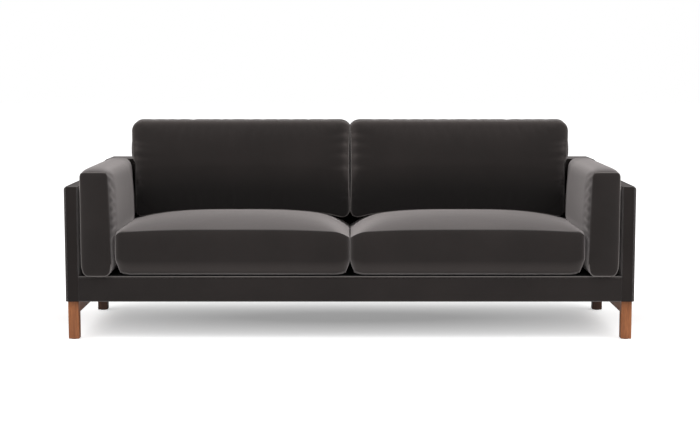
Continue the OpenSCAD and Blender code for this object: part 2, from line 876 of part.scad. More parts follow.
module arm_form() {
    edge = outline(arm_hw, arm_hh, arm_radii, 0, arm_steps);
    leaned = [for (p = edge) arm_lean_at(p)];
    front = function (x, y) arm_l + front_swell * crown_at(x / arm_hw) * crown_at(y / arm_hh);
    points = concat(
        [[0, 0, front(0, 0)]],
        [for (s = panel_shares) for (p = leaned) [p.x * s, p.y * s, front(p.x * s, p.y * s)]],
        [for (k = [1:arm_rows]) for (p = edge)
            let (t = k / (arm_rows + 1)) arm_swell_at(p, t, arm_l * (1 - t))],
        [for (s = panel_rear_shares) for (p = edge) let (q = arm_swell_at(p, 1, 0)) [q.x * s, q.y * s, 0]],
        [[0, 0, 0]]
    );
    rings = len(panel_shares) + arm_rows + len(panel_rear_shares);
    translate([arm_mid, arm_rear, base_top + arm_hh])
        rotate([quarter_turn, 0, 0])
            polyhedron(points, cushion_faces(len(edge), rings), convexity = 4);
}

module arm_core_form() {
    translate([arm_core_in, arm_core_y, base_top]) cube([arm_core_w, arm_core_l, arm_core_h]);
}

module arm_board_form() {
    translate([arm_board_x - arm_board_t / 2, arm_core_y + arm_wrap_t, base_top])
        cube([arm_board_t, arm_core_l - 2 * arm_wrap_t, arm_board_h]);
}

module arm_cover(left) {
    on_side(left) difference() {
        arm_form();
        translate([0, 0, -overrun]) arm_core_form();
        arm_core_form();
    }
}

module left_arm_cover() { color(velvet) arm_cover(true); }
module right_arm_cover() { color(velvet) arm_cover(false); }

module arm_foams() {
    color(foam_colour)
        for (left = [false, true]) on_side(left) difference() {
            arm_core_form();
            translate([0, 0, -overrun]) arm_board_form();
            arm_board_form();
        }
}

module arm_boards() {
    color(board)
        for (left = [false, true]) on_side(left) difference() {
            arm_board_form();
            at_arm_bolts() bolt_hole(bolt_d, 0, arm_bolt_reach);
        }
}

// Inner back

module inner_back_form(t) {
    w = 2 * (shell_in - soft_gap - t);
    d = back_t - 2 * t;
    h = back_h - 2 * t;
    r = back_edge_r - t;
    intersection() {
        translate([-w / 2, back_front + t, base_top + t])
            along_x(w) soft_rect(d, h, r, cloth_t);
        translate([-w / 2, back_front + t, base_top + t])
            along_y(d) soft_rect(w, h, r, cloth_t);
    }
}

module back_pocket_form() {
    translate([-back_frame_hw, back_spring_y, back_frame_z])
        cube([2 * back_frame_hw, post_d + wire_d, back_frame_h]);
}

module back_cover() {
    color(velvet) from_front() difference() {
        inner_back_form(0);
        inner_back_form(cloth_t);
        back_pocket_form();
    }
}

module back_foam() {
    color(foam_colour) from_front() difference() {
        inner_back_form(cloth_t);
        back_pocket_form();
    }
}

module back_rails() {
    color(timber) from_front()
        for (z = [0, back_frame_h - back_rail_h])
            translate([-back_frame_hw, back_spring_y + wire_d, back_frame_z + z])
                cube([2 * back_frame_hw, post_d, back_rail_h]);
}

module back_posts() {
    color(timber) from_front()
        for (s = post_shares)
            translate([s * (back_frame_hw - post_w / 2) - post_w / 2, back_spring_y + wire_d,
                back_frame_z + back_rail_h])
                cube([post_w, post_d, back_frame_h - 2 * back_rail_h]);
}

// Loose cushions. Each form has its outside at t = 0 and its lining at t = skin_t

module seat_form(t, steps, uppers, lowers) {
    edge = outline(seat_hw - t, seat_hd - t, [for (i = [0:3]) seat_corner_r], seat_pull, steps);
    rear = seat_rear - seat_y - t;
    translate([seat_x, seat_y, seat_z])
        cushion_solid(
            cushion_points(
                edge,
                function (x, y) seat_top(x, y, t),
                function (x, y) seat_underside(x, y, t),
                function (p, share, z) seat_swell(p, share, z, rear),
                uppers, lowers
            ),
            edge, uppers, lowers
        );
}

module seat_core_form() {
    core_h = seat_h - 2 * seat_roll - 2 * skin_t;
    translate([seat_x - seat_hw + core_inset, seat_y - seat_hd + core_inset, seat_z + seat_roll + skin_t])
        cube([2 * (seat_hw - core_inset), 2 * (seat_hd - core_inset), core_h]);
}

// A back cushion lies flat here, front face up, and is then stood on its lower edge
module back_cushion_form(t, steps, uppers, lowers) {
    edge = outline(back_hw - t, back_hh - t, [for (i = [0:3]) back_corner_r], back_pull, steps);
    seated = [for (p = edge) [p.x, on_crown(p.x, p.y)]];
    rear = rear_crown - front_swell;
    upright = cushion_points(
        seated,
        function (x, y) back_cushion_t - t + back_crown * crown_at(x / back_hw) * crown_at(y / back_hh),
        function (x, y) t - min(rear, rear_crown * crown_at(x / back_hw) * crown_at(y / back_hh)),
        function (p, share, z) [p.x, p.y, z],
        uppers, lowers
    );
    translate([back_x, back_seam_y, seat_z + seat_h + back_hh])
        rotate([quarter_turn, 0, 0])
            cushion_solid([for (p = upright) [p.x, p.y - back_fall_at(p), p.z]], edge, uppers, lowers);
}

// How far a point of a back cushion, lying flat, falls towards its rear seam
function back_fall_at(p) =
    back_fall * clamp_share(1 - p.z / back_cushion_t) * clamp_share(p.y / back_hh);

zip_l = zip_length_share * 2 * seat_hw;
seat_zip_z = seat_z + (seat_h + seat_roll) / 2;
back_zip_z = seat_z + seat_h + seat_crown + back_corner_r + zip_h;

module zip_groove_form(z) {
    translate([seat_x - zip_l / 2, seat_rear - zip_groove, z - zip_h / 2])
        cube([zip_l, zip_groove + overrun, zip_h]);
}

module zip_tape(left, z) {
    on_side(left)
        translate([seat_x - zip_l / 2, seat_rear - zip_groove, z - zip_h / 2])
            cube([zip_l, zip_t, zip_h]);
}

// The slider stands at the middle-side end of the zip, with a pull tab below it
module zip_pull(left, z) {
    tab_w = slider_l / 2;
    tab_h = zip_h / 2 - zip_play;
    on_side(left)
        translate([seat_x - zip_l / 2 + slider_l, seat_rear - zip_groove + zip_t + zip_play, z]) {
            translate([-slider_l / 2, 0, -slider_l / 4]) cube([slider_l, slider_t, slider_l / 2]);
            translate([-tab_w / 2, slider_t / 4, -tab_h]) cube([tab_w, slider_t / 2, tab_h]);
        }
}

module seat_cover(left) {
    on_side(left) difference() {
        seat_form(0, fine_steps, upper_shares, lower_shares);
        seat_form(skin_t, plain_steps, plain_upper_shares, plain_lower_shares);
        zip_groove_form(seat_zip_z);
    }
}

module seat_wrap(left) {
    on_side(left) difference() {
        seat_form(skin_t, plain_steps, plain_upper_shares, plain_lower_shares);
        seat_core_form();
        zip_groove_form(seat_zip_z);
    }
}

module back_cushion_cover(left) {
    on_side(left) difference() {
        back_cushion_form(0, fine_steps, upper_shares, lower_shares);
        back_cushion_form(skin_t, plain_steps, plain_upper_shares, plain_lower_shares);
        zip_groove_form(back_zip_z);
    }
}

module back_cushion_insert(left) {
    on_side(left) difference() {
        back_cushion_form(skin_t, plain_steps, plain_upper_shares, plain_lower_shares);
        zip_groove_form(back_zip_z);
    }
}

module left_seat_cover() { color(velvet) seat_cover(true); }
module right_seat_cover() { color(velvet) seat_cover(false); }
module left_seat_wrap() { color(wadding) seat_wrap(true); }
module right_seat_wrap() { color(wadding) seat_wrap(false); }
module left_seat_core() { color(foam_colour) on_side(true) seat_core_form(); }
module right_seat_core() { color(foam_colour) on_side(false) seat_core_form(); }
module left_seat_zip() { color(black_cloth) zip_tape(true, seat_zip_z); }
module right_seat_zip() { color(black_cloth) zip_tape(false, seat_zip_z); }
module left_seat_zip_pull() { color(steel) zip_pull(true, seat_zip_z); }
module right_seat_zip_pull() { color(steel) zip_pull(false, seat_zip_z); }
module left_back_cover() { color(velvet) back_cushion_cover(true); }
module right_back_cover() { color(velvet) back_cushion_cover(false); }
module left_back_insert() { color(wadding) back_cushion_insert(true); }
module right_back_insert() { color(wadding) back_cushion_insert(false); }
module left_back_zip() { color(black_cloth) zip_tape(true, back_zip_z); }
module right_back_zip() { color(black_cloth) zip_tape(false, back_zip_z); }
module left_back_zip_pull() { color(steel) zip_pull(true, back_zip_z); }
module right_back_zip_pull() { color(steel) zip_pull(false, back_zip_z); }

front_left_leg();
front_right_leg();
rear_left_leg();
rear_right_leg();
left_leg_rail();
right_leg_rail();
leg_dowels();
floor_glides();
leg_bolts();
leg_inserts();
front_rail();
spring_rail();
rear_rail();
left_side_rail();
right_side_rail();
centre_rail();
corner_blocks();
seat_springs();
spring_clips();
deck_pad();
deck_cloth();
base_front_pad();
base_front_cover();
dust_cover();
left_shell_board();
right_shell_board();
back_shell_board();
shell_padding();
left_shell_cover();
right_shell_cover();
back_shell_cover();
frame_bolts();
shell_screws();
arm_boards();
arm_foams();
left_arm_cover();
right_arm_cover();
back_rails();
back_posts();
back_springs();
back_foam();
back_cover();
left_seat_cover();
right_seat_cover();
left_seat_wrap();
right_seat_wrap();
left_seat_core();
right_seat_core();
left_seat_zip();
right_seat_zip();
left_seat_zip_pull();
right_seat_zip_pull();
left_back_cover();
right_back_cover();
left_back_insert();
right_back_insert();
left_back_zip();
right_back_zip();
left_back_zip_pull();
right_back_zip_pull();
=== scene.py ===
import json
from math import copysign, cos, exp, pi, radians, sin, sqrt, tanh

import bpy
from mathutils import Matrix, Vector, noise


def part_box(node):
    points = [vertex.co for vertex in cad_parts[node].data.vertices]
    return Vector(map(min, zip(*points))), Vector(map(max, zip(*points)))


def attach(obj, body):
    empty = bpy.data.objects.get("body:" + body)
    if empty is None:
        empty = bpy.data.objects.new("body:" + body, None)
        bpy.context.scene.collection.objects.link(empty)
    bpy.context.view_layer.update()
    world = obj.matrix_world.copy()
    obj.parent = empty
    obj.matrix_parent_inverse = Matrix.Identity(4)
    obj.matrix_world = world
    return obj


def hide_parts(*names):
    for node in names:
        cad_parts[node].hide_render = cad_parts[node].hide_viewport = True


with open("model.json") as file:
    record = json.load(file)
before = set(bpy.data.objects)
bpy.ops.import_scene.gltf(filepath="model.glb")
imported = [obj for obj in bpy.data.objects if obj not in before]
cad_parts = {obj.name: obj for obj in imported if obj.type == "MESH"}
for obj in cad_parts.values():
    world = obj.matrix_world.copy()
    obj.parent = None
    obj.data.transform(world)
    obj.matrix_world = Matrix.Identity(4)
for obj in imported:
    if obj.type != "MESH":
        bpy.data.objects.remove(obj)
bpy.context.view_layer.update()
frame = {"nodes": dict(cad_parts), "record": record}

# Distances under which two places count as one, in metres: on a lattice, and at a box's edges

tiny = 1e-5
slack = 1e-4

# Sizes of the upholstery, in metres

base_top = 0.249
seam_swell = 0.008

seat_low, seat_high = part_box("right_seat_cover")
seat_half_w = (seat_high.x - seat_low.x) / 2
seat_mid_x = (seat_high.x + seat_low.x) / 2
seat_front = seat_low.y + seam_swell
seat_half_d = (seat_high.y - seat_front) / 2
seat_mid_y = (seat_high.y + seat_front) / 2
seat_side_h = 0.168
seat_crown = 0.048
seat_nearest = 0.0001

back_low, back_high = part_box("right_back_cover")
back_half_w = (back_high.x - back_low.x) / 2
back_mid_x = (back_high.x + back_low.x) / 2
back_h = 0.411
back_t = 0.136
back_seam_z = seat_low.z + seat_side_h + back_h
back_rear_seam = back_high.y - seam_swell
back_front_seam = back_rear_seam - back_t

arm_low, arm_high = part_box("right_arm_cover")
arm_front = arm_low.y + seam_swell
arm_rear = arm_high.y
arm_out = 1.035
arm_in_foot = 0.918
arm_in_top = 0.93
arm_h = 0.402


# Modelling helpers


def deselect():
    bpy.ops.object.select_all(action="DESELECT")


def pick(piece):
    """Selects one object alone and makes it the active one."""
    deselect()
    piece.select_set(True)
    bpy.context.view_layer.objects.active = piece


def crown_at(share, reach=1.05):
    """The height of a crown, from one in the middle to zero at the given reach."""
    return 1 - (min(reach, abs(share)) / reach) ** 3.2


def clamp(share):
    return min(1.0, max(0.0, share))


def round_corner(x, y, half_x, half_y, radius_x, radius_y):
    """Moves a point of a rectangle's corner onto an elliptical corner."""
    u = (abs(x) - half_x + radius_x) / radius_x
    v = (abs(y) - half_y + radius_y) / radius_y
    if u <= 0 or v <= 0:
        return x, y
    across = half_x - radius_x + radius_x * u * sqrt(1 - v * v / 2)
    along = half_y - radius_y + radius_y * v * sqrt(1 - u * u / 2)
    return copysign(across, x), copysign(along, y)


def edit_only(piece, kind, chosen):
    """Enters edit mode with the chosen points, edges or faces selected. chosen is given each element."""
    pick(piece)
    bpy.ops.object.mode_set(mode="EDIT")
    bpy.ops.mesh.select_mode(type=kind)
    bpy.ops.mesh.select_all(action="DESELECT")
    bpy.ops.object.mode_set(mode="OBJECT")
    elements = {"VERT": piece.data.vertices, "EDGE": piece.data.edges, "FACE": piece.data.polygons}[kind]
    for element in elements:
        element.select = chosen(element)
    bpy.ops.object.mode_set(mode="EDIT")


def start_grid(width, length, cell):
    """Adds a flat grid with sides of one, in edit mode. At its given size, its squares are about a cell."""
    columns = round(width / cell)
    rows = round(length / cell)
    deselect()
    bpy.ops.mesh.primitive_grid_add(
        x_subdivisions=columns, y_subdivisions=rows, size=1, enter_editmode=True
    )


def lattice(name, size, cell):
    """A closed box of small squares standing on zero, ready to be shaped."""
    layers = max(2, round(size[2] / cell))
    start_grid(size[0], size[1], cell)
    bpy.ops.transform.resize(value=(size[0], size[1], 1))
    for _ in range(layers):
        bpy.ops.mesh.extrude_region_move(TRANSFORM_OT_translate={"value": (0, 0, size[2] / layers)})
    bpy.ops.mesh.select_all(action="SELECT")
    bpy.ops.mesh.normals_make_consistent(inside=False)
    bpy.ops.object.mode_set(mode="OBJECT")
    piece = bpy.context.object
    piece.name = name
    return piece


def group(piece, name, weight_at, points):
    """Adds a vertex group whose weights come from each point's place in the lattice."""
    made = piece.vertex_groups.new(name=name)
    for index, point in enumerate(points):
        weight = weight_at(point)
        if weight > 0:
            made.add([index], weight, "REPLACE")


cloth_frames = 20
cloth_pressure = 4.0


def inflate(piece, growth):
    """Runs the cloth under pressure, with the group named held kept in place."""
    scene = bpy.context.scene
    pick(piece)
    cloth = piece.modifiers.new("Cloth", "CLOTH")
    cloth.settings.effector_weights.gravity = 0
    cloth.settings.quality = 5
    cloth.settings.mass = 0.3
    cloth.settings.tension_stiffness = 15
    cloth.settings.compression_stiffness = 15
    cloth.settings.shear_stiffness = 5
    cloth.settings.bending_stiffness = 2.0
    cloth.settings.use_pressure = True
    cloth.settings.uniform_pressure_force = cloth_pressure
    cloth.settings.shrink_min = -growth
    cloth.settings.vertex_group_mass = "held"
    cloth.collision_settings.use_collision = False
    cloth.point_cache.frame_start = 1
    cloth.point_cache.frame_end = cloth_frames
    for step in range(1, cloth_frames + 1):
        scene.frame_set(step)
    bpy.ops.object.modifier_apply(modifier=cloth.name)
    scene.frame_set(1)


def stuffed(name, size, cell, place, seams, held, reach, wear, growth=0.0, gathers=None):
    """A stitched pad: a lattice shaped by place, swelled as cloth with its seams held, and smoothed."""
    piece = lattice(name, size, cell)
    points = [v.co.copy() for v in piece.data.vertices]
    # Painted light, stored per point: above zero a painted highlight, below zero painted shade, read by the
    # velvet.
    painted_light_map = piece.data.attributes.new("wear", "FLOAT", "POINT")
    for value, point in zip(painted_light_map.data, points):
        value.value = wear(point)
    for seam, on_seam in seams.items():
        group(piece, seam, on_seam, points)
    group(piece, "held", held, points)
    for vertex, point in zip(piece.data.vertices, points):
        vertex.co = place(point)
    start = [v.co.copy() for v in piece.data.vertices]
    inflate(piece, growth)
    for vertex, before, point in zip(piece.data.vertices, start, points):
        move = vertex.co - before
        limit = reach(point)
        if move.length > 0:
            vertex.co = before + move * (limit * tanh(move.length / max(limit, tiny)) / move.length)
    if gathers:
        for vertex, point in zip(piece.data.vertices, points):
            vertex.co += gathers(point)
    smooth = piece.modifiers.new("Smooth", "SUBSURF")
    smooth.levels = 1
    smooth.render_levels = 1
    pick(piece)
    bpy.ops.object.modifier_apply(modifier=smooth.name)
    bpy.ops.object.shade_smooth()
    return piece


def flatten_side(cushion, nearest):
    """Flattens a right-hand cushion where it meets the left one, in the middle of the sofa."""
    for vertex in cushion.data.vertices:
        vertex.co.x = max(vertex.co.x, nearest)


def tube(name, curve, radius):
    """Turns a curve object into a round cord of the given radius."""
    curve.data.bevel_depth = radius
    curve.data.bevel_resolution = 2
    curve.data.use_fill_caps = True
    pick(curve)
    bpy.ops.object.convert(target="MESH")
    cord = bpy.context.object
    cord.name = name
    bpy.ops.object.shade_smooth()
    return cord


def welt(name, piece, seam, radius):
    """A fine cord that follows a seam of a finished pad."""
    pick(piece)
    bpy.ops.object.duplicate()
    strip = bpy.context.object
    index = strip.vertex_groups[seam].index
    edit_only(strip, "VERT", lambda v: not any(g.group == index and g.weight > 0.99 for g in v.groups))
    bpy.ops.mesh.delete(type="VERT")
    bpy.ops.object.mode_set(mode="OBJECT")
    strip.vertex_groups.clear()
    bpy.ops.object.convert(target="CURVE")
    return tube(name, bpy.context.object, radius)


def piping(name, points, radius, closed=False):
    """A fine cord through the given points, with its bends eased."""
    path = bpy.data.curves.new(name, "CURVE")
    path.dimensions = "3D"
    path.resolution_u = 4
    spline = path.splines.new("NURBS")
    spline.points.add(len(points) - 1)
    for knot, point in zip(spline.points, points):
        knot.co = (*point, 1)
    spline.order_u = 3
    spline.use_endpoint_u = not closed
    spline.use_cyclic_u = closed
    curve = bpy.data.objects.new(name, path)
    bpy.context.scene.collection.objects.link(curve)
    return tube(name, curve, radius)


panel_ring = 0.0015
ringed_share = 1 / 60


def edge_middle(piece, edge):
    first, second = (piece.data.vertices[index].co for index in edge.vertices)
    return (first + second) / 2


def panel(name, low, high, edges):
    """An upholstered board: a box with chosen edges rounded, and with rings that keep its faces flat."""
    size = high - low
    deselect()
    bpy.ops.mesh.primitive_cube_add(size=1, enter_editmode=True)
    bpy.ops.transform.resize(value=size)
    bpy.ops.transform.translate(value=(low + high) / 2)
    bpy.ops.object.mode_set(mode="OBJECT")
    piece = bpy.context.object
    piece.name = name
    for radius, segments, chosen in edges:
        edit_only(piece, "EDGE", lambda e: chosen(edge_middle(piece, e)))
        bpy.ops.mesh.bevel(offset=radius, segments=segments, profile=0.5, affect="EDGES")
        bpy.ops.object.mode_set(mode="OBJECT")
    largest = max(face.area for face in piece.data.polygons)
    edit_only(piece, "FACE", lambda f: f.area > largest * ringed_share)
    bpy.ops.mesh.inset(thickness=panel_ring, use_individual=True)
    bpy.ops.object.mode_set(mode="OBJECT")
    bpy.ops.object.shade_smooth()
    return piece


def node_copy(node, name):
    """A new object with a CAD node's own shape."""
    copy = bpy.data.objects.new(name, frame["nodes"][node].data.copy())
    bpy.context.scene.collection.objects.link(copy)
    return copy


def merged_copy(node, name, radius):
    """A CAD node's own shape, merged and with its edges eased."""
    copy = node_copy(node, name)
    pick(copy)
    copy.data.materials.clear()
    bpy.ops.object.mode_set(mode="EDIT")
    bpy.ops.mesh.select_all(action="SELECT")
    bpy.ops.mesh.remove_doubles(threshold=tiny)
    bpy.ops.mesh.dissolve_limited(angle_limit=radians(2))
    bpy.ops.object.mode_set(mode="OBJECT")
    ease = copy.modifiers.new("Ease", "BEVEL")
    ease.width = radius
    ease.segments = 3
    ease.limit_method = "ANGLE"
    ease.angle_limit = radians(50)
    bpy.ops.object.modifier_apply(modifier=ease.name)
    bpy.ops.object.shade_smooth_by_angle(angle=radians(35))
    return copy


def mirrored(piece, name):
    """The same piece on the other side of the sofa."""
    copy = piece.copy()
    copy.data = piece.data.copy()
    copy.name = name
    bpy.context.scene.collection.objects.link(copy)
    for vertex in copy.data.vertices:
        vertex.co.x = -vertex.co.x
    copy.data.flip_normals()
    return copy


def dress(piece, material, slot, body, *nodes):
    """Gives a piece its finish, its body and the nodes that it stands for."""
    piece.data.materials.clear()
    piece.data.materials.append(material)
    if nodes:
        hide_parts(*nodes)
    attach(piece, body)


def dress_pair(piece, material, slot, body, *nodes):
    """Dresses a right-hand piece, and a mirrored copy of it with left in place of right in every name."""
    other = mirrored(piece, piece.name.replace("right", "left"))
    left_body, *left_nodes = (name.replace("right", "left") for name in (body, *nodes))
    dress(piece, material, slot, body, *nodes)
    dress(other, material, slot, left_body, *left_nodes)
    return piece, other


# Materials


def new_material(name):
    material = bpy.data.materials.new(name)
    material.use_nodes = True
    return material, material.node_tree, material.node_tree.nodes["Principled BSDF"]


def add(tree, kind, **values):
    """Adds a shader node and sets its sockets by name, with underscores for spaces."""
    made = tree.nodes.new(kind)
    for key, value in values.items():
        made.inputs[key.replace("_", " ")].default_value = value
    return made


def pattern(tree, scale=(1, 1, 1)):
    """Object coordinates, stretched by the given scale."""
    place = tree.nodes.new("ShaderNodeTexCoord")
    mapping = add(tree, "ShaderNodeMapping", Scale=scale)
    tree.links.new(place.outputs["Object"], mapping.inputs["Vector"])
    return mapping.outputs["Vector"]


def speckle(tree, vector, scale, detail=2.0, roughness=0.5):
    made = add(tree, "ShaderNodeTexNoise", Scale=scale, Detail=detail, Roughness=roughness)
    tree.links.new(vector, made.inputs["Vector"])
    return made.outputs["Fac"]


def ramp(tree, factor, stops):
    """A colour ramp through the given places and colours."""
    made = tree.nodes.new("ShaderNodeValToRGB")
    elements = made.color_ramp.elements
    while len(elements) < len(stops):
        elements.new(0.5)
    for element, (place, colour) in zip(elements, stops):
        element.position = place
        element.color = (*colour, 1)
    tree.links.new(factor, made.inputs["Fac"])
    return made.outputs["Color"]


def blend(tree, kind, factor, a, b):
    """Mixes two colours with a fixed factor or one that comes from a socket."""
    made = tree.nodes.new("ShaderNodeMix")
    made.data_type = "RGBA"
    made.blend_type = kind
    if isinstance(factor, (int, float)):
        made.inputs["Factor"].default_value = factor
    else:
        tree.links.new(factor, made.inputs["Factor"])
    for socket, value in ((made.inputs[6], a), (made.inputs[7], b)):
        if isinstance(value, tuple):
            socket.default_value = (*value, 1)
        else:
            tree.links.new(value, socket)
    return made.outputs[2]


def bump(tree, height, strength, distance, before=None):
    made = add(tree, "ShaderNodeBump", Strength=strength, Distance=distance)
    tree.links.new(height, made.inputs["Height"])
    if before is not None:
        tree.links.new(before, made.inputs["Normal"])
    return made.outputs["Normal"]


face_pile = ((0.0170, 0.0134, 0.0124), (0.0242, 0.0191, 0.0178))
seam_pile = ((0.0150, 0.0137, 0.0131), (0.0215, 0.0196, 0.0188))
# The next two colours are painted light: a pale pile for painted highlights and a near-black pile for
# painted shade.
painted_highlight_pile = (0.085, 0.072, 0.068)
painted_shade_pile = (0.0020, 0.0016, 0.0015)


def velvet(name, pile_colours, tone=1.0, sheen=1.0):
    """Short dense pile with soft brushed patches, a fine speckle and a sheen at grazing angles.

    A point attribute paints light into the pile's colour: highlights where it is above zero and shade where
    it is below zero.
    """
    material, tree, shader = new_material(name)
    vector = pattern(tree)
    dark, light = (tuple(tone * c for c in colour) for colour in pile_colours)
    brushed = ramp(tree, speckle(tree, vector, 3.2, 3.0, 0.55), [(0.34, dark), (0.68, light)])
    pile = speckle(tree, vector, 900.0, 1.0)
    fine = ramp(tree, pile, [(0.3, (0.7, 0.7, 0.7)), (0.7, (1.0, 1.0, 1.0))])
    # Painted light: the attribute mixes towards the pale pile for highlights and, below zero, towards the
    # near-black pile for shade.
    painted_light_map = tree.nodes.new("ShaderNodeAttribute")
    painted_light_map.attribute_name = "wear"
    painted_shade_share = tree.nodes.new("ShaderNodeMath")
    painted_shade_share.operation = "MULTIPLY"
    painted_shade_share.inputs[1].default_value = -1
    tree.links.new(painted_light_map.outputs["Fac"], painted_shade_share.inputs[0])
    nap = blend(tree, "MIX", painted_light_map.outputs["Fac"], brushed, painted_highlight_pile)
    nap = blend(tree, "MIX", painted_shade_share.outputs[0], nap, painted_shade_pile)
    tree.links.new(blend(tree, "MULTIPLY", 0.7, nap, fine), shader.inputs["Base Color"])
    soft = bump(tree, speckle(tree, vector, 14.0, 2.0), 0.25, 0.002)
    tree.links.new(bump(tree, pile, 0.3, 0.0004, soft), shader.inputs["Normal"])
    shader.inputs["Roughness"].default_value = 0.9
    shader.inputs["Specular IOR Level"].default_value = 0.15
    shader.inputs["Sheen Weight"].default_value = sheen
    shader.inputs["Sheen Roughness"].default_value = 0.46
    shader.inputs["Sheen Tint"].default_value = (0.95, 0.88, 0.87, 1)
    return material


def wood(name, dark, light, grain, shine):
    """Straight-grained timber whose fibres run along the axis with the smallest scale."""
    material, tree, shader = new_material(name)
    vector = pattern(tree, grain)
    bands = speckle(tree, vector, 1.0, 4.0, 0.6)
    fibres = speckle(tree, pattern(tree, tuple(6 * g for g in grain)), 1.0, 2.0, 0.6)
    body = ramp(tree, bands, [(0.3, dark), (0.7, light)])
    lines = ramp(tree, fibres, [(0.35, (0.72, 0.68, 0.64)), (0.6, (1.0, 1.0, 1.0))])
    tree.links.new(blend(tree, "MULTIPLY", 0.8, body, lines), shader.inputs["Base Color"])
    tree.links.new(bump(tree, fibres, 0.15, 0.0004), shader.inputs["Normal"])
    shader.inputs["Roughness"].default_value = shine
    return material


def plain_cloth(name, dark, light, weave):
    """A woven or felted cloth with no pile."""
    material, tree, shader = new_material(name)
    vector = pattern(tree)
    threads = speckle(tree, vector, weave, 2.0)
    tree.links.new(ramp(tree, threads, [(0.35, dark), (0.65, light)]), shader.inputs["Base Color"])
    tree.links.new(bump(tree, threads, 0.5, 0.0006), shader.inputs["Normal"])
    shader.inputs["Roughness"].default_value = 0.95
    return material


def steel(name):
    """Drawn wire and plated hardware."""
    material, tree, shader = new_material(name)
    drawn = speckle(tree, pattern(tree, (400, 60, 400)), 1.0, 2.0)
    tree.links.new(ramp(tree, drawn, [(0.3, (0.30, 0.31, 0.33)), (0.7, (0.44, 0.45, 0.47))]),
                   shader.inputs["Base Color"])
    shader.inputs["Metallic"].default_value = 1.0
    shader.inputs["Roughness"].default_value = 0.35
    return material


def glide_plastic(name):
    material, tree, shader = new_material(name)
    grain = speckle(tree, pattern(tree), 600.0, 1.0)
    tree.links.new(ramp(tree, grain, [(0.3, (0.016, 0.014, 0.013)), (0.7, (0.028, 0.025, 0.023))]),
                   shader.inputs["Base Color"])
    tree.links.new(bump(tree, grain, 0.2, 0.0002), shader.inputs["Normal"])
    shader.inputs["Roughness"].default_value = 0.5
    return material


sofa_velvet = velvet("charcoal_velvet", face_pile)
cross_nap_velvet = velvet("cross_nap_velvet", face_pile, 1.2, 0.5)
# The welt velvets are paler copies of the face velvet: painted highlights along the seams, faint in the
# first, stronger in the second and strongest in the third.
seam_velvet = velvet("seam_velvet", seam_pile, 1.5)
painted_highlight_welt_velvet = velvet("painted_highlight_welt_velvet", seam_pile, 6.0)
bright_seam_velvet = velvet("bright_seam_velvet", seam_pile, 10.0)
leg_walnut = wood("leg_walnut", (0.29, 0.095, 0.031), (0.52, 0.185, 0.064), (60, 60, 5), 0.42)
# The rear legs' wood is about half as bright: painted shade for the sofa's shadow over them.
shaded_rear_walnut = wood("rear_leg_walnut_painted_shade", (0.05, 0.018, 0.008), (0.095, 0.036, 0.015), (60, 60, 5), 0.5)
rail_walnut = wood("rail_walnut", (0.25, 0.083, 0.028), (0.45, 0.162, 0.058), (60, 5, 60), 0.42)
beech = wood("beech", (0.46, 0.30, 0.15), (0.62, 0.44, 0.24), (5, 60, 60), 0.6)
birch_ply = wood("birch_plywood", (0.48, 0.33, 0.17), (0.60, 0.43, 0.23), (8, 8, 160), 0.6)
bright_steel = steel("bright_steel")
dark_plastic = glide_plastic("dark_glide_plastic")
black_lining = plain_cloth("black_lining", (0.008, 0.008, 0.009), (0.02, 0.02, 0.021), 700.0)
white_wadding = plain_cloth("white_wadding", (0.70, 0.68, 0.64), (0.84, 0.82, 0.78), 120.0)
seat_foam = plain_cloth("seat_foam", (0.70, 0.62, 0.38), (0.84, 0.76, 0.50), 400.0)

finish_of = {
    "velvet": sofa_velvet,
    "walnut": leg_walnut,
    "timber": beech,
    "plywood": birch_ply,
    "steel": bright_steel,
    "glide_plastic": dark_plastic,
    "black_cloth": black_lining,
    "wadding": white_wadding,
    "foam": seat_foam,
}


def dress_cad_nodes():
    """Every CAD node that stays gets the procedural finish of its own slot."""
    for part in frame["record"]["subparts"]:
        node = frame["nodes"][part["node"]]
        node.data.materials.clear()
        node.data.materials.append(finish_of[part["material_slot"]])
    for node in ("left_leg_rail", "right_leg_rail"):
        frame["nodes"][node].data.materials[0] = rail_walnut


def second_finish(piece, material, chosen):
    """Gives the chosen faces of a piece another finish. chosen is given each face's normal."""
    piece.data.materials.append(material)
    for face in piece.data.polygons:
        if chosen(face.normal):
            face.material_index = 1


def cross_nap(piece):
    """On the strips round a boxed cushion the pile runs the other way and shines less."""
    second_finish(piece, cross_nap_velvet, lambda normal: abs(normal.y) < 0.6)


# Seat cushions

seat_size = (2 * seat_half_w, 2 * seat_half_d, seat_side_h)
seat_corner = 0.018
seat_side_pull = 0.009
seat_middle_pull = 0.003
seat_foot = 0.24
seat_foot_in = 0.012
seat_foot_in_sides = 0.016
seat_cell = 0.0095
seat_welt = 0.0018
seat_crown_reach = 1.095
seat_roll = 0.006
seat_roll_w = 0.045
seat_roll_end = 0.6
corner_tuck = 0.062
corner_lift = 0.036
foot_lift = 0.0145
top_corner_drop = 0.024
shoulder_drop = 0.02
shoulder_fall = 0.016
shoulder_w = 0.06
shoulder_growth = 0.64
# The next three values are painted highlights: on the rolled foot and along the top seam.
foot_painted_highlight = 0.55
seat_seam_painted_highlight = 0.12
seat_seam_painted_highlight_w = 0.006
least_reach = 0.001
seat_top_reach = 0.009
seat_front_reach = 0.004
swell_start = 0.10
swell_ramp = 0.12


def tuck(value, half, length=corner_tuck):
    return clamp((abs(value) - half + length) / length) ** 2


def seat_crown_at(x, y):
    """Height of a seat cushion's crown above its underside."""
    crown = seat_crown * crown_at(x / seat_half_w, 1.0)
    return seat_side_h + crown * crown_at(y / seat_half_d, seat_crown_reach)


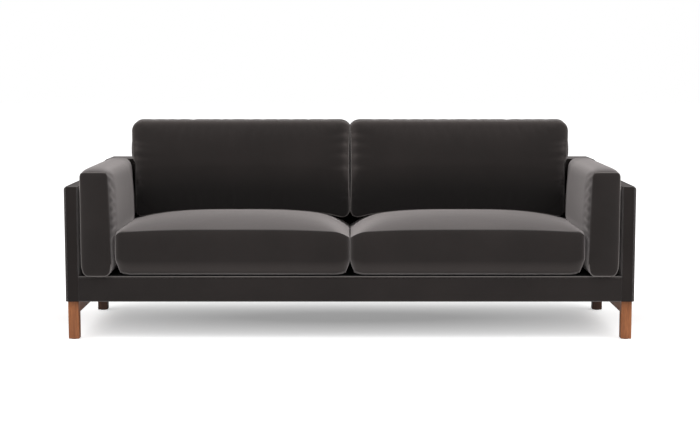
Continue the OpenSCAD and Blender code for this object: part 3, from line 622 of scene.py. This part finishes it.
def seat_fall_at(x, y):
    """How far the top falls below its crown: at the corners beside the arm, and beside its twin."""
    back = clamp((y / seat_half_d + 1) * shoulder_growth)
    if x > 0:
        return top_corner_drop * tuck(x, seat_half_w, top_corner_drop) * tuck(y, seat_half_d)
    return (shoulder_drop + shoulder_fall * back) * tuck(x, seat_half_w, shoulder_w * (1 + back))


def edge_roll(distance, height, width):
    """The plump roll just inside a seam: nothing on the seam, full a little inside it, and then fading."""
    return height * (1 - exp(-distance / (0.2 * width))) * exp(-distance / width)


def seat_place(p):
    """A boxed seat cushion: crowned, swelled in front, its foot rolled under and its lower corners up."""
    rise = p.z / seat_side_h
    at_edge = max(abs(p.x) / seat_half_w, abs(p.y) / seat_half_d) > 0.999
    x, y = round_corner(p.x, p.y, seat_half_w, seat_half_d, seat_corner, seat_corner)
    across = x / seat_half_w
    along = y / seat_half_d
    x -= (seat_side_pull if x > 0 else seat_middle_pull) * across * clamp(1 - along * along)
    y -= seat_side_pull * along * clamp(1 - across * across) * (0 if y < 0 else 1)
    rolled = 1 - clamp(rise / seat_foot)
    x -= seat_foot_in_sides * rolled * across
    y -= seat_foot_in * rolled * along
    low = foot_lift * max(tuck(x, seat_half_w), tuck(y, seat_half_d))
    low += corner_lift * tuck(x, seat_half_w) * tuck(y, seat_half_d)
    top = seat_crown_at(x, y) - seat_fall_at(x, y)
    if x > 0 and not at_edge:
        top += edge_roll(seat_half_w - x, seat_roll, seat_roll_w) * clamp(seat_roll_end - along)
    z = low + (top - low) * rise
    if at_edge and y < 0:
        y -= seam_swell * sin(pi * rise) ** 0.8 * abs(along) ** 8
    return Vector((seat_mid_x + x, seat_mid_y + y, seat_low.z + z))


def on_rim(p, size, axis, level):
    """Whether a lattice point lies on the rim of the face across the given axis at the given level."""
    others = [i for i in range(3) if i != axis]
    if abs(p[axis] - level) > tiny:
        return 0.0
    low = (-size[0] / 2, -size[1] / 2, 0.0)
    high = (size[0] / 2, size[1] / 2, size[2])
    return float(any(min(p[i] - low[i], high[i] - p[i]) < tiny for i in others))


def seat_held(p):
    if p.z < tiny:
        return 1.0
    return on_rim(p, seat_size, 2, seat_side_h)


def seat_painted_light(p):
    """Painted highlights on the rolled foot of the side strips and along the top seam."""
    if not tiny < p.z < seat_side_h - tiny:
        return 0.0
    rise = p.z / seat_side_h
    foot = foot_painted_highlight * (1 - clamp(rise / seat_foot)) ** 0.5
    return foot + seat_seam_painted_highlight * exp((p.z - seat_side_h) / seat_seam_painted_highlight_w)


def seat_reach(p):
    """The top swells in front of the back cushion and not under it."""
    if p.z > seat_side_h - tiny:
        return least_reach + seat_top_reach * clamp((swell_start - p.y) / swell_ramp)
    return seat_front_reach if p.y < 0.001 - seat_half_d else least_reach


def make_seat_cushions():
    seams = {
        "top_seam": lambda p: on_rim(p, seat_size, 2, seat_side_h),
        "foot_seam": lambda p: on_rim(p, seat_size, 2, 0.0),
    }
    cushion = stuffed("right_seat_cushion", seat_size, seat_cell, seat_place, seams, seat_held, seat_reach,
                      seat_painted_light)
    flatten_side(cushion, seat_nearest)
    cut_zip_groove(cushion, "right_seat_zip")
    top = welt("right_seat_top_welt", cushion, "top_seam", seat_welt)
    foot = welt("right_seat_foot_welt", cushion, "foot_seam", seat_welt)
    for made in dress_pair(cushion, sofa_velvet, "velvet", "right_seat_cushion", "right_seat_cover"):
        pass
    # The foot welt takes the stronger painted highlight of the rolled foot.
    for piece, finish in ((top, seam_velvet), (foot, painted_highlight_welt_velvet)):
        dress_pair(piece, finish, "velvet", "right_seat_cushion")


# Back cushions

back_size = (2 * back_half_w, back_t, back_h)
back_corner = 0.045
back_middle_corner = 0.025
back_crown = 0.026
back_rear_crown = seam_swell
back_pull = 0.005
back_fall = 0.01
back_strip_swell = 0.007
side_swell_top = 0.5
side_swell_more = 0.7
side_swell_start = 0.75
side_swell_ramp = 0.3
side_swell_hold = 12
top_swell_hold = 6
back_middle_swell = 0.0055
back_nearest = -0.00003
back_cell = 0.009
back_growth = 0.01
back_front_welt = 0.0022
back_rear_welt = 0.0018
sill_gap = 0.001
back_roll = 0.009
back_roll_w = 0.04
back_front_reach = 0.007
back_side_reach = 0.002
arm_nip = 0.008
arm_nip_hold = 4
filling_nip = 0.009
arm_top_share = 0.1
arm_top_ramp = 0.2
arm_level = 0.24
arm_level_overlap = 0.012
pucker_depth = 0.011
pucker_w = 0.009
pucker_slant = 0.2
pucker_length = 0.024
middle_side_puckers = (0.36, 0.32, 0.275, 0.22, 0.10)
arm_side_puckers = (0.325, 0.30, 0.26, 0.175, 0.15)

# Painted light on the back cushions: shares of painted highlight and painted shade in the pile's colour,
# and the distances over which they change

back_face_painted_lift = 0.08
back_top_painted_highlight = 0.9
back_top_painted_highlight_w = 0.01
middle_side_painted_highlight = 0.75
arm_side_painted_highlight = 0.25
back_side_painted_highlight_w = 0.02
pucker_painted_highlight = 0.9
strip_painted_shade = 0.9
low_painted_shade = 0.8
low_painted_shade_start = 0.23
low_painted_shade_ramp = 0.16


def sill_at(x, y):
    """The lowest line of a back cushion, just over the seat cushion's crown below its front face."""
    crown = seat_crown_at(x - seat_mid_x, min(y, back_front_seam) - seat_mid_y)
    return seat_low.z + crown + sill_gap


def pucker_at(p):
    """How deep a gather is at a point of the front face, from zero to about one beside the seam."""
    side_distance = back_half_w - abs(p.x)
    heights = middle_side_puckers if p.x < 0 else arm_side_puckers
    rise = p.z + pucker_slant * side_distance
    depth = sum(exp(-((rise - height) / pucker_w) ** 2) for height in heights)
    return depth * exp(-side_distance / pucker_length)


def back_gathers(p):
    """The small gathers that a sewn side seam draws into the front face beside it."""
    if p.y > tiny - back_t / 2 or back_half_w - abs(p.x) < tiny:
        return Vector((0, 0, 0))
    return Vector((0, pucker_depth * pucker_at(p), 0))


def back_place(p):
    """A boxed back cushion standing on the seat's crown: full in front, flat behind."""
    half_h = back_h / 2
    rise = p.z - half_h
    depth = (back_t / 2 - p.y) / back_t
    at_edge = max(abs(p.x) / back_half_w, abs(rise) / half_h) > 0.999
    tall = back_middle_corner if p.x < 0 and rise > 0 else back_corner
    x, z = round_corner(p.x, rise, back_half_w, half_h, back_corner, tall)
    across = x / back_half_w
    up = z / half_h
    x -= back_pull * across * clamp(1 - up * up)
    above_arm = clamp((up - arm_top_share) / arm_top_ramp)
    if x > 0:
        x -= arm_nip * abs(across) ** arm_nip_hold * (1 - above_arm)
    y = back_rear_seam - depth * back_t
    lowest = back_seam_z - back_h
    below = (1 - up) / 2
    seated = up + below * (sill_at(back_mid_x + x, y) - lowest) / half_h
    crown = crown_at(across) * crown_at(seated)
    side_distance = back_half_w - abs(x)
    if depth > 0.999:
        y -= back_crown * crown
        if not at_edge:
            y -= edge_roll(min(side_distance, half_h - z), back_roll, back_roll_w)
    if depth < 0.001:
        y += min(back_rear_crown, 2 * back_rear_crown * crown)
    if at_edge:
        swell = back_strip_swell * sin(pi * clamp(depth) ** 3) ** 0.7
        side_swell = back_middle_swell * sin(pi * clamp(depth)) ** 0.7
        if x > 0:
            lower = clamp((side_swell_start - up) / side_swell_ramp)
            side_swell = swell * above_arm * (side_swell_top + side_swell_more * lower)
        x += side_swell * across * abs(across) ** side_swell_hold
        z += swell * max(0.0, up) ** top_swell_hold
    z -= back_fall * (1 - depth) * clamp(up)
    z += lowest + half_h + below * (sill_at(back_mid_x + x, y) - lowest)
    return Vector((back_mid_x + x, y, z))


def back_held(p):
    if p.y > back_t / 2 - tiny or p.z < tiny:
        return 1.0
    return on_rim(p, back_size, 1, -back_t / 2)


def back_painted_light(p):
    """Painted highlights on the front face and its gathers; painted shade low on it and on the side strips
    by the arm and twin.
    """
    side_distance = back_half_w - abs(p.x)
    if p.y > tiny - back_t / 2:
        return -strip_painted_shade if side_distance < tiny and (p.x < 0 or p.z < arm_level) else 0.0
    top = back_top_painted_highlight * exp(-(back_h - p.z) / back_top_painted_highlight_w)
    side = (middle_side_painted_highlight if p.x < 0 else arm_side_painted_highlight) * exp(-((side_distance / back_side_painted_highlight_w) ** 2))
    low = 0.5 - 0.5 * cos(pi * clamp((low_painted_shade_start - p.z) / low_painted_shade_ramp))
    painted_light_map = min(1.0, back_face_painted_lift + top + side + pucker_painted_highlight * pucker_at(p))
    return painted_light_map * (1 - low) - low_painted_shade * low


def back_reach(p):
    if p.y < tiny - back_t / 2:
        return back_front_reach
    return back_side_reach


def by_arm(p, overlap=0.0):
    """Whether a point of a back cushion's outer edge stands beside the arm pad."""
    return p.x > back_half_w - tiny and p.z < arm_level + overlap


def make_back_cushions():
    seams = {
        "front_seam": lambda p: on_rim(p, back_size, 1, -back_t / 2) * (not by_arm(p)),
        "arm_seam": lambda p: on_rim(p, back_size, 1, -back_t / 2) * by_arm(p, arm_level_overlap),
        "rear_seam": lambda p: on_rim(p, back_size, 1, back_t / 2),
    }
    cushion = stuffed("right_back_cushion", back_size, back_cell, back_place, seams, back_held, back_reach,
                      back_painted_light, growth=back_growth, gathers=back_gathers)
    flatten_side(cushion, back_nearest)
    cut_zip_groove(cushion, "right_back_zip")
    front = welt("right_back_front_welt", cushion, "front_seam", back_front_welt)
    beside_arm = welt("right_back_arm_welt", cushion, "arm_seam", back_front_welt)
    rear = welt("right_back_rear_welt", cushion, "rear_seam", back_rear_welt)
    for made in dress_pair(cushion, sofa_velvet, "velvet", "right_back_cushion", "right_back_cover"):
        cross_nap(made)
    for piece, finish in ((front, bright_seam_velvet), (beside_arm, seam_velvet), (rear, seam_velvet)):
        dress_pair(piece, finish, "velvet", "right_back_cushion")


def make_back_fillings():
    """A back cushion's filling, a little narrower than its solid where the arm pad nips the cover."""
    low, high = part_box("right_back_insert")
    filling = node_copy("right_back_insert", "right_back_filling")
    share = 1 - filling_nip / (high.x - low.x)
    for vertex in filling.data.vertices:
        vertex.co.x = low.x + share * (vertex.co.x - low.x)
    dress_pair(filling, white_wadding, "wadding", "right_back_cushion", "right_back_insert")


# Arm pads

arm_length = arm_rear - arm_front
arm_w = arm_out - arm_in_foot
arm_size = (arm_w, arm_length, arm_h)
arm_cell = 0.0085
arm_welt = 0.0018
arm_top_corner = 0.017
arm_foot_corner = 0.024
arm_swell_in = 0.018
arm_swell_rear = 0.007
arm_swell_by_seat = 0.0065
arm_swell_out = 0.0105
arm_swell_up = 0.0155
arm_foot_stretch = 2.4
arm_inner_crown = 1.3
arm_top_build = 0.03
arm_outer_build = 0.012
arm_outer_build_low = 0.05
arm_outer_build_start = 0.34
arm_outer_build_ramp = 0.04
arm_rear_start = 0.12
arm_rear_ramp = 0.3
arm_seat_level = 0.11
arm_seat_ramp = 0.08
arm_end_w = 0.05
quick_fill = 0.65
quick_fill_w = 0.014
slow_fill = 0.35
slow_fill_w = 0.12
gather_share = 0.22
gather_place = 0.03
gather_pitch = 0.036
gather_drift = Vector((0, 3.7, 0))
gather_drift_length = 0.09
# Painted shade low on the inner side, then a painted highlight along the front seam.
arm_painted_shade = 0.8
arm_painted_shade_start = 0.3
arm_painted_shade_ramp = 0.14
arm_seam_painted_highlight = 0.2
arm_seam_painted_highlight_w = 0.006
arm_outer_reach = 0.0005
arm_other_reach = 0.004


def arm_side_swell(height, behind, inner):
    """How far an arm pad's side stands out behind the front seam, whose gathers show on the inner side."""
    before_end = 1 - exp((behind - arm_length) / arm_end_w)
    if not inner:
        lower = clamp((arm_outer_build_start - height) / arm_outer_build_ramp)
        build = arm_outer_build + arm_outer_build_low * lower
        return arm_swell_out * (1 - exp(-behind / build)) * before_end
    upper = arm_swell_in + arm_swell_rear * clamp((behind - arm_rear_start) / arm_rear_ramp)
    above_seat = clamp((height - arm_seat_level) / arm_seat_ramp)
    full = arm_swell_by_seat + (upper - arm_swell_by_seat) * above_seat
    drift = 2 * noise.noise(Vector((height / gather_drift_length, 0, 0)) + gather_drift)
    near_seam = exp(-((behind - gather_place) / gather_place) ** 2)
    gather = gather_share * sin(2 * pi * height / gather_pitch + drift) * near_seam
    fill = 1 - quick_fill * exp(-behind / quick_fill_w) - slow_fill * exp(-behind / slow_fill_w)
    return full * (1 + gather) * fill * before_end


def arm_place(p):
    """A boxed arm pad: its front panel narrows upwards, and its sides and top swell behind the seam."""
    half_w = arm_w / 2
    half_h = arm_h / 2
    rise = p.z - half_h
    behind = max(0.0, p.y + arm_length / 2)
    at_edge = max(abs(p.x) / half_w, abs(rise) / half_h) > 0.999
    foot = arm_foot_corner if rise < 0 else arm_top_corner
    tall = arm_foot_stretch * foot if rise < 0 else foot
    x, z = round_corner(p.x, rise, half_w, half_h, foot, tall)
    across = x / half_w
    up = z / half_h
    x += (arm_in_top - arm_in_foot) * (1 - across) / 2 * (up + 1) / 2
    if at_edge or behind > arm_length - tiny:
        side_crown = crown_at(up, arm_inner_crown) if x < 0 < z else crown_at(up)
        x += side_crown * across * arm_side_swell(z + half_h, behind, x < 0)
        z += (1 - exp(-behind / arm_top_build)) * crown_at(across) * max(0.0, up) ** 3 * arm_swell_up
    y = arm_front + behind
    if behind < tiny:
        y -= seam_swell * crown_at(across) * crown_at(up)
    return Vector(((arm_in_foot + arm_out) / 2 + x, y, base_top + half_h + z))


def arm_held(p):
    if p.z < tiny or p.y > arm_length / 2 - tiny:
        return 1.0
    return on_rim(p, arm_size, 1, -arm_length / 2)


def arm_painted_light(p):
    """Painted highlights round the front panel's seam, and painted shade low on the inner side beside the
    seat.
    """
    if p.x < tiny - arm_w / 2 and p.y > tiny - arm_length / 2:
        return -arm_painted_shade * clamp((arm_painted_shade_start - p.z) / arm_painted_shade_ramp)
    if p.y > tiny - arm_length / 2:
        return 0.0
    distance = min(arm_w / 2 - p.x, p.z, arm_h - p.z)
    return arm_seam_painted_highlight * exp(-distance / arm_seam_painted_highlight_w)


def arm_reach(p):
    if p.x > arm_w / 2 - tiny:
        return arm_outer_reach
    return arm_other_reach


def arm_seam(p):
    """The front seam's visible part: all of it but the inner side above the foot."""
    shows = p.x > tiny - arm_w / 2 or p.z < 0.05
    return on_rim(p, arm_size, 1, -arm_length / 2) * shows


def make_arm_pads():
    seams = {"front_seam": arm_seam}
    pad = stuffed("right_arm_pad", arm_size, arm_cell, arm_place, seams, arm_held, arm_reach, arm_painted_light)
    front = welt("right_arm_front_welt", pad, "front_seam", arm_welt)
    for made in dress_pair(pad, sofa_velvet, "velvet", "sofa_frame", "right_arm_cover"):
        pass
    dress_pair(front, bright_seam_velvet, "velvet", "sofa_frame")


# Shell, base and inner back

shell_edge = 0.013
shell_inner_edge = 0.003
shell_foot = 0.005
welt_radius = 0.0015


def make_shell_sides():
    low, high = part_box("right_shell_cover")
    outer = high.x - slack
    panel_side = panel("right_shell_panel", low, high, [
        (shell_edge, 6, lambda m: (m.x > outer and m.z > low.z + 0.01)
            or (m.z > high.z - slack and m.y > high.y - slack)),
        (shell_foot, 4, lambda m: m.x > outer and m.z < low.z + slack),
        (shell_inner_edge, 3, lambda m: (m.z > high.z - slack and abs(m.y - (low.y + high.y) / 2) > 0.4)
            or (m.x < low.x + slack and m.z > low.z + 0.01)),
    ])
    seam_x = high.x - 0.0095
    proud = 0.0004
    outer_seam = piping("right_shell_outer_welt", [
        (seam_x, low.y - proud, low.z + 0.001), (seam_x, low.y - proud, (low.z + high.z) / 2),
        (seam_x, low.y - proud, high.z - 0.004), (seam_x, low.y + 0.0005, high.z - 0.0005),
        (seam_x, low.y + 0.004, high.z + proud), (seam_x, 0, high.z + proud),
        (seam_x, high.y - 0.012, high.z + proud),
    ], welt_radius)
    inner_x = low.x + 0.0012
    inner_seam = piping("right_shell_inner_welt", [
        (inner_x, low.y + 0.0006, base_top - 0.004), (inner_x, low.y + 0.0006, (base_top + high.z) / 2),
        (inner_x, low.y + 0.0006, high.z - 0.004), (inner_x, low.y + 0.0014, high.z - 0.0012),
        (inner_x, low.y + 0.004, high.z - 0.0006), (inner_x, 0, high.z - 0.0006),
        (inner_x, high.y - 0.03, high.z - 0.0006),
    ], welt_radius)
    for made in dress_pair(panel_side, cross_nap_velvet, "velvet", "sofa_frame", "right_shell_cover"):
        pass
    for piece in (outer_seam, inner_seam):
        dress_pair(piece, seam_velvet, "velvet", "sofa_frame")


def make_back_shell():
    low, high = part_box("back_shell_cover")
    back = panel("back_shell_panel", low, high, [
        (shell_edge, 6, lambda m: m.z > high.z - slack and abs(m.x) < 0.5),
        (shell_foot, 4, lambda m: m.z < low.z + slack and abs(m.x) < 0.5),
    ])
    dress(back, cross_nap_velvet, "velvet", "sofa_frame", "back_shell_cover")
    line = piping("back_shell_welt", [
        (low.x + 0.004, high.y - 0.011, high.z - 0.0015), (0, high.y - 0.011, high.z - 0.0015),
        (high.x - 0.004, high.y - 0.011, high.z - 0.0015),
    ], welt_radius)
    dress(line, seam_velvet, "velvet", "sofa_frame")


def make_base_front():
    """The band between the side panels; black cloth on its top face is painted shade for the gap under the
    seat cushions.
    """
    low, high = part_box("base_front_cover")
    front = panel("base_front_panel", low, high, [
        (0.008, 6, lambda m: m.z > high.z - slack and m.y < low.y + slack),
        (0.003, 3, lambda m: m.z < low.z + slack and m.y < low.y + slack),
    ])
    dress(front, sofa_velvet, "velvet", "sofa_frame", "base_front_cover")
    # Black cloth on the top face: a dark sheet as painted shade for the gap under the seat cushions' front
    # edge.
    second_finish(front, black_lining, lambda normal: normal.z > 0.95)
    # Both cords are painted highlights: a light line along the foot and a bright line along the top edge.
    edges = {
        "base_front_foot_welt": (low.y + 0.0008, low.z + 0.0012, 0.0012, painted_highlight_welt_velvet),
        "base_front_top_welt": (low.y + 0.0026, high.z - 0.0020, 0.0020, bright_seam_velvet),
    }
    for name, (y, z, radius, finish) in edges.items():
        line = piping(name, [(low.x, y, z), (0, y, z), (high.x, y, z)], radius)
        dress(line, finish, "velvet", "sofa_frame")


def make_inner_back():
    low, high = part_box("back_cover")
    middle = (low.y + high.y) / 2
    block = panel("inner_back_pad", low, high, [
        (0.026, 8, lambda m: m.z > high.z - slack and abs(m.x) > high.x - slack),
        (0.014, 6, lambda m: m.z > high.z - slack and abs(m.x) < 0.5),
        (0.005, 3, lambda m: abs(m.x) > high.x - slack and abs(m.y - middle) > 0.08
            and low.z < m.z < high.z - 0.03),
    ])
    dress(block, cross_nap_velvet, "velvet", "sofa_frame", "back_cover")


def make_legs():
    for node in ("front_left_leg", "front_right_leg", "rear_left_leg", "rear_right_leg"):
        leg = merged_copy(node, f"{node}_turned", 0.0018)
        # The rear legs take the darker wood, which is painted shade.
        dress(leg, shaded_rear_walnut if node.startswith("rear") else leg_walnut, "walnut", "sofa_frame", node)


# Zips

tooth_pitch = 0.003
tooth_size = Vector((0.0016, 0.0011, 0.005))
tooth_proud = 0.00015
zip_margin = 0.004


def bevelled_block(name, low, high, radius, segments=2):
    """A block with its edges eased."""
    deselect()
    bpy.ops.mesh.primitive_cube_add(size=1, enter_editmode=True)
    bpy.ops.transform.resize(value=high - low)
    bpy.ops.transform.translate(value=(low + high) / 2)
    bpy.ops.mesh.select_all(action="SELECT")
    bpy.ops.mesh.bevel(offset=radius, segments=segments, profile=0.5, affect="EDGES")
    bpy.ops.object.mode_set(mode="OBJECT")
    block = bpy.context.object
    block.name = name
    return block


def repeat(piece, offset, count):
    """Repeats a piece count times, each time further on by the offset."""
    pick(piece)
    row = piece.modifiers.new("Row", "ARRAY")
    row.count = count
    row.use_relative_offset = False
    row.use_constant_offset = True
    row.constant_offset_displace = offset
    bpy.ops.object.modifier_apply(modifier=row.name)


def cut_away(piece, cutter):
    """Cuts one object out of another and removes the cutter."""
    pick(piece)
    cut = piece.modifiers.new("Cut", "BOOLEAN")
    cut.operation = "DIFFERENCE"
    cut.solver = "EXACT"
    cut.object = cutter
    bpy.ops.object.modifier_apply(modifier=cut.name)
    bpy.data.objects.remove(cutter)


def cut_zip_groove(cushion, node):
    """The recess behind a cushion that its zip lies in."""
    low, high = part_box(node)
    margin = Vector((zip_margin / 2, 0, 0.0005))
    deep = Vector((high.x, low.y + 0.03, high.z)) + margin
    cut_away(cushion, bevelled_block("groove", low - margin, deep, 0.0006, 1))


def make_zip_teeth(kind):
    """One tooth, repeated along the middle of the zip tape."""
    low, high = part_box(f"right_{kind}_zip")
    start_z = (low.z + high.z - tooth_size.z) / 2
    start = Vector((low.x + zip_margin, high.y - tooth_size.y + tooth_proud, start_z))
    teeth = bevelled_block(f"right_{kind}_zip_teeth", start, start + tooth_size, 0.0003, 1)
    repeat(teeth, (tooth_pitch, 0, 0), int((high.x - low.x - 2 * zip_margin) / tooth_pitch))
    return teeth


def make_zip_pull(kind):
    """A slider with a block for its body and a pull tab that has a slot in it."""
    low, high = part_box(f"right_{kind}_zip_pull")
    body_h = (high.x - low.x) / 2
    body_low = Vector((low.x, low.y, high.z - body_h))
    pull = bevelled_block(f"right_{kind}_zip_slider", body_low, high, 0.0009, 3)
    middle = (low.x + high.x) / 2
    tab_w = (high.x - low.x) / 4
    tab_low = Vector((middle - tab_w, low.y + 0.0008, low.z))
    tab_high = Vector((middle + tab_w, low.y + 0.0022, high.z - body_h + 0.0005))
    tab = bevelled_block("tab", tab_low, tab_high, 0.0006, 2)
    slot_low = Vector((middle - 0.0014, low.y - 0.002, low.z + 0.0018))
    slot_high = Vector((middle + 0.0014, low.y + 0.006, low.z + 0.0058))
    cut_away(tab, bevelled_block("slot", slot_low, slot_high, 0.0008, 2))
    deselect()
    tab.select_set(True)
    pull.select_set(True)
    bpy.context.view_layer.objects.active = pull
    bpy.ops.object.join()
    bpy.ops.object.shade_smooth_by_angle(angle=radians(35))
    return pull


def make_zips():
    for kind in ("seat", "back"):
        teeth = make_zip_teeth(kind)
        pull = make_zip_pull(kind)
        dress_pair(teeth, bright_steel, "steel", f"right_{kind}_cushion")
        dress_pair(pull, bright_steel, "steel", f"right_{kind}_pull", f"right_{kind}_zip_pull")


# Linings

lining_cell = 0.025
lining_margin = 0.001
staple_size = Vector((0.012, 0.0012, 0.001))
staple_start = Vector((0.03, 0.008, -0.0008))
staple_pitch = 0.09


def lining(name, node, dip):
    """A cloth stretched level over an opening, which dips a little between its fixed edges."""
    low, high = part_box(node)
    size = high - low
    middle = (low + high) / 2
    start_grid(size.x, size.y, lining_cell)
    bpy.ops.transform.resize(value=(size.x - 2 * lining_margin, size.y - 2 * lining_margin, 1))
    bpy.ops.transform.translate(value=middle)
    bpy.ops.object.mode_set(mode="OBJECT")
    cloth = bpy.context.object
    cloth.name = name
    for vertex in cloth.data.vertices:
        across = 2 * (vertex.co.x - middle.x) / size.x
        along = 2 * (vertex.co.y - middle.y) / size.y
        ripple = 0.6 + 0.4 * noise.noise(vertex.co * 6)
        vertex.co.z -= dip * ripple * crown_at(across, 1.0) * crown_at(along, 1.0)
    bpy.ops.object.shade_smooth()
    return cloth


def thicken(piece, thickness):
    pick(piece)
    shell = piece.modifiers.new("Thickness", "SOLIDIFY")
    shell.thickness = thickness
    shell.offset = 0
    bpy.ops.object.modifier_apply(modifier=shell.name)


def make_dust_cover():
    """The cloth under the frame, with a row of staples along the front and the rear."""
    low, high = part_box("dust_cover")
    cover = lining("dust_cover_cloth", "dust_cover", 0.003)
    thicken(cover, 0.0007)
    dress(cover, black_lining, "black_cloth", "sofa_frame", "dust_cover")
    first = low + staple_start
    staple = bevelled_block("staples", first, first + staple_size, 0.0002, 1)
    repeat(staple, (staple_pitch, 0, 0), int((high.x - low.x - 0.04) / staple_pitch))
    repeat(staple, (0, high.y - low.y - 2 * staple_start.y - staple_size.y, 0), 2)
    dress(staple, bright_steel, "steel", "sofa_frame")


def make_deck_cloth():
    """The cloth over the springs, under the seat cushions."""
    cloth = lining("deck_lining", "deck_cloth", 0.0005)
    thicken(cloth, 0.0006)
    dress(cloth, black_lining, "black_cloth", "sofa_frame", "deck_cloth")


# Studio

# The sky's strength as a light towards the sides, the front and back, and overhead
sky_strength = (0.6, 0.335, 0.5)
high_light_size = (5.0, 5.0)
high_light_watts = 155


def softbox(name, place, aim, size, watts):
    """A large rectangular lamp that points at aim."""
    lamp = bpy.data.lights.new(name, "AREA")
    lamp.shape = "RECTANGLE"
    lamp.size, lamp.size_y = size
    lamp.energy = watts
    made = bpy.data.objects.new(name, lamp)
    made.location = place
    made.rotation_euler = (Vector(aim) - Vector(place)).to_track_quat("-Z", "Y").to_euler()
    bpy.context.scene.collection.objects.link(made)


def make_floor():
    deselect()
    bpy.ops.mesh.primitive_plane_add(size=60)
    floor = bpy.context.object
    floor.name = "studio_floor"
    material, tree, shader = new_material("studio_floor")
    tree.nodes.remove(shader)
    out = tree.nodes["Material Output"]
    diffuse = add(tree, "ShaderNodeBsdfDiffuse", Color=(0.8, 0.8, 0.8, 1))
    path = tree.nodes.new("ShaderNodeLightPath")
    place = tree.nodes.new("ShaderNodeTexCoord")
    mapping = add(tree, "ShaderNodeMapping", Location=(0, -0.1, 0), Scale=(0.24, 1.0, 1))
    tree.links.new(place.outputs["Object"], mapping.inputs["Vector"])
    distance = tree.nodes.new("ShaderNodeVectorMath")
    distance.operation = "LENGTH"
    tree.links.new(mapping.outputs["Vector"], distance.inputs[0])
    # Painted light on the floor: the glow seen by the camera rises from the sofa outwards, lifting its
    # shadow and shaping the shadow's edges.
    near_to_far = ramp(tree, distance.outputs["Value"], [(0.1, (0.3, 0.3, 0.3)), (0.7, (0.85, 0.85, 0.85))])
    glow = add(tree, "ShaderNodeEmission")
    tree.links.new(near_to_far, glow.inputs["Color"])
    tree.links.new(path.outputs["Is Camera Ray"], glow.inputs["Strength"])
    both = tree.nodes.new("ShaderNodeAddShader")
    tree.links.new(diffuse.outputs[0], both.inputs[0])
    tree.links.new(glow.outputs[0], both.inputs[1])
    tree.links.new(both.outputs[0], out.inputs["Surface"])
    floor.data.materials.append(material)


def make_world():
    """A soft sky, brightest to the sides and dimmest in front, seen as white behind the sofa."""
    world = bpy.data.worlds.new("studio")
    world.use_nodes = True
    bpy.context.scene.world = world
    tree = world.node_tree
    sky = tree.nodes["Background"]
    sky.inputs["Color"].default_value = (1, 1, 1, 1)
    place = tree.nodes.new("ShaderNodeTexCoord")
    towards = add(tree, "ShaderNodeMapping", Scale=sky_strength)
    tree.links.new(place.outputs["Generated"], towards.inputs["Vector"])
    dome = tree.nodes.new("ShaderNodeVectorMath")
    dome.operation = "LENGTH"
    tree.links.new(towards.outputs["Vector"], dome.inputs[0])
    path = tree.nodes.new("ShaderNodeLightPath")
    strength = tree.nodes.new("ShaderNodeMix")
    strength.data_type = "FLOAT"
    strength.inputs[3].default_value = 1.0
    tree.links.new(path.outputs["Is Camera Ray"], strength.inputs[0])
    tree.links.new(dome.outputs["Value"], strength.inputs[2])
    tree.links.new(strength.outputs[0], sky.inputs["Strength"])


def make_camera():
    lens = bpy.data.cameras.new("camera")
    lens.lens = 77.14
    lens.sensor_width = 36
    camera = bpy.data.objects.new("camera", lens)
    camera.location = (0, -6.144, 1.084)
    camera.rotation_euler = (radians(83.82), 0, 0)
    bpy.context.scene.collection.objects.link(camera)
    bpy.context.scene.camera = camera


make_camera()
make_world()
make_floor()
for side in (-1, 1):
    place = (3.6 * side, -2.0, 5.0)
    softbox(f"high_light_{side}", place, (0, 0, 0.3), high_light_size, high_light_watts)
bpy.context.scene.view_settings.view_transform = "Standard"

dress_cad_nodes()
make_seat_cushions()
make_back_cushions()
make_back_fillings()
make_arm_pads()
make_shell_sides()
make_back_shell()
make_base_front()
make_inner_back()
make_legs()
make_zips()
make_dust_cover()
make_deck_cloth()
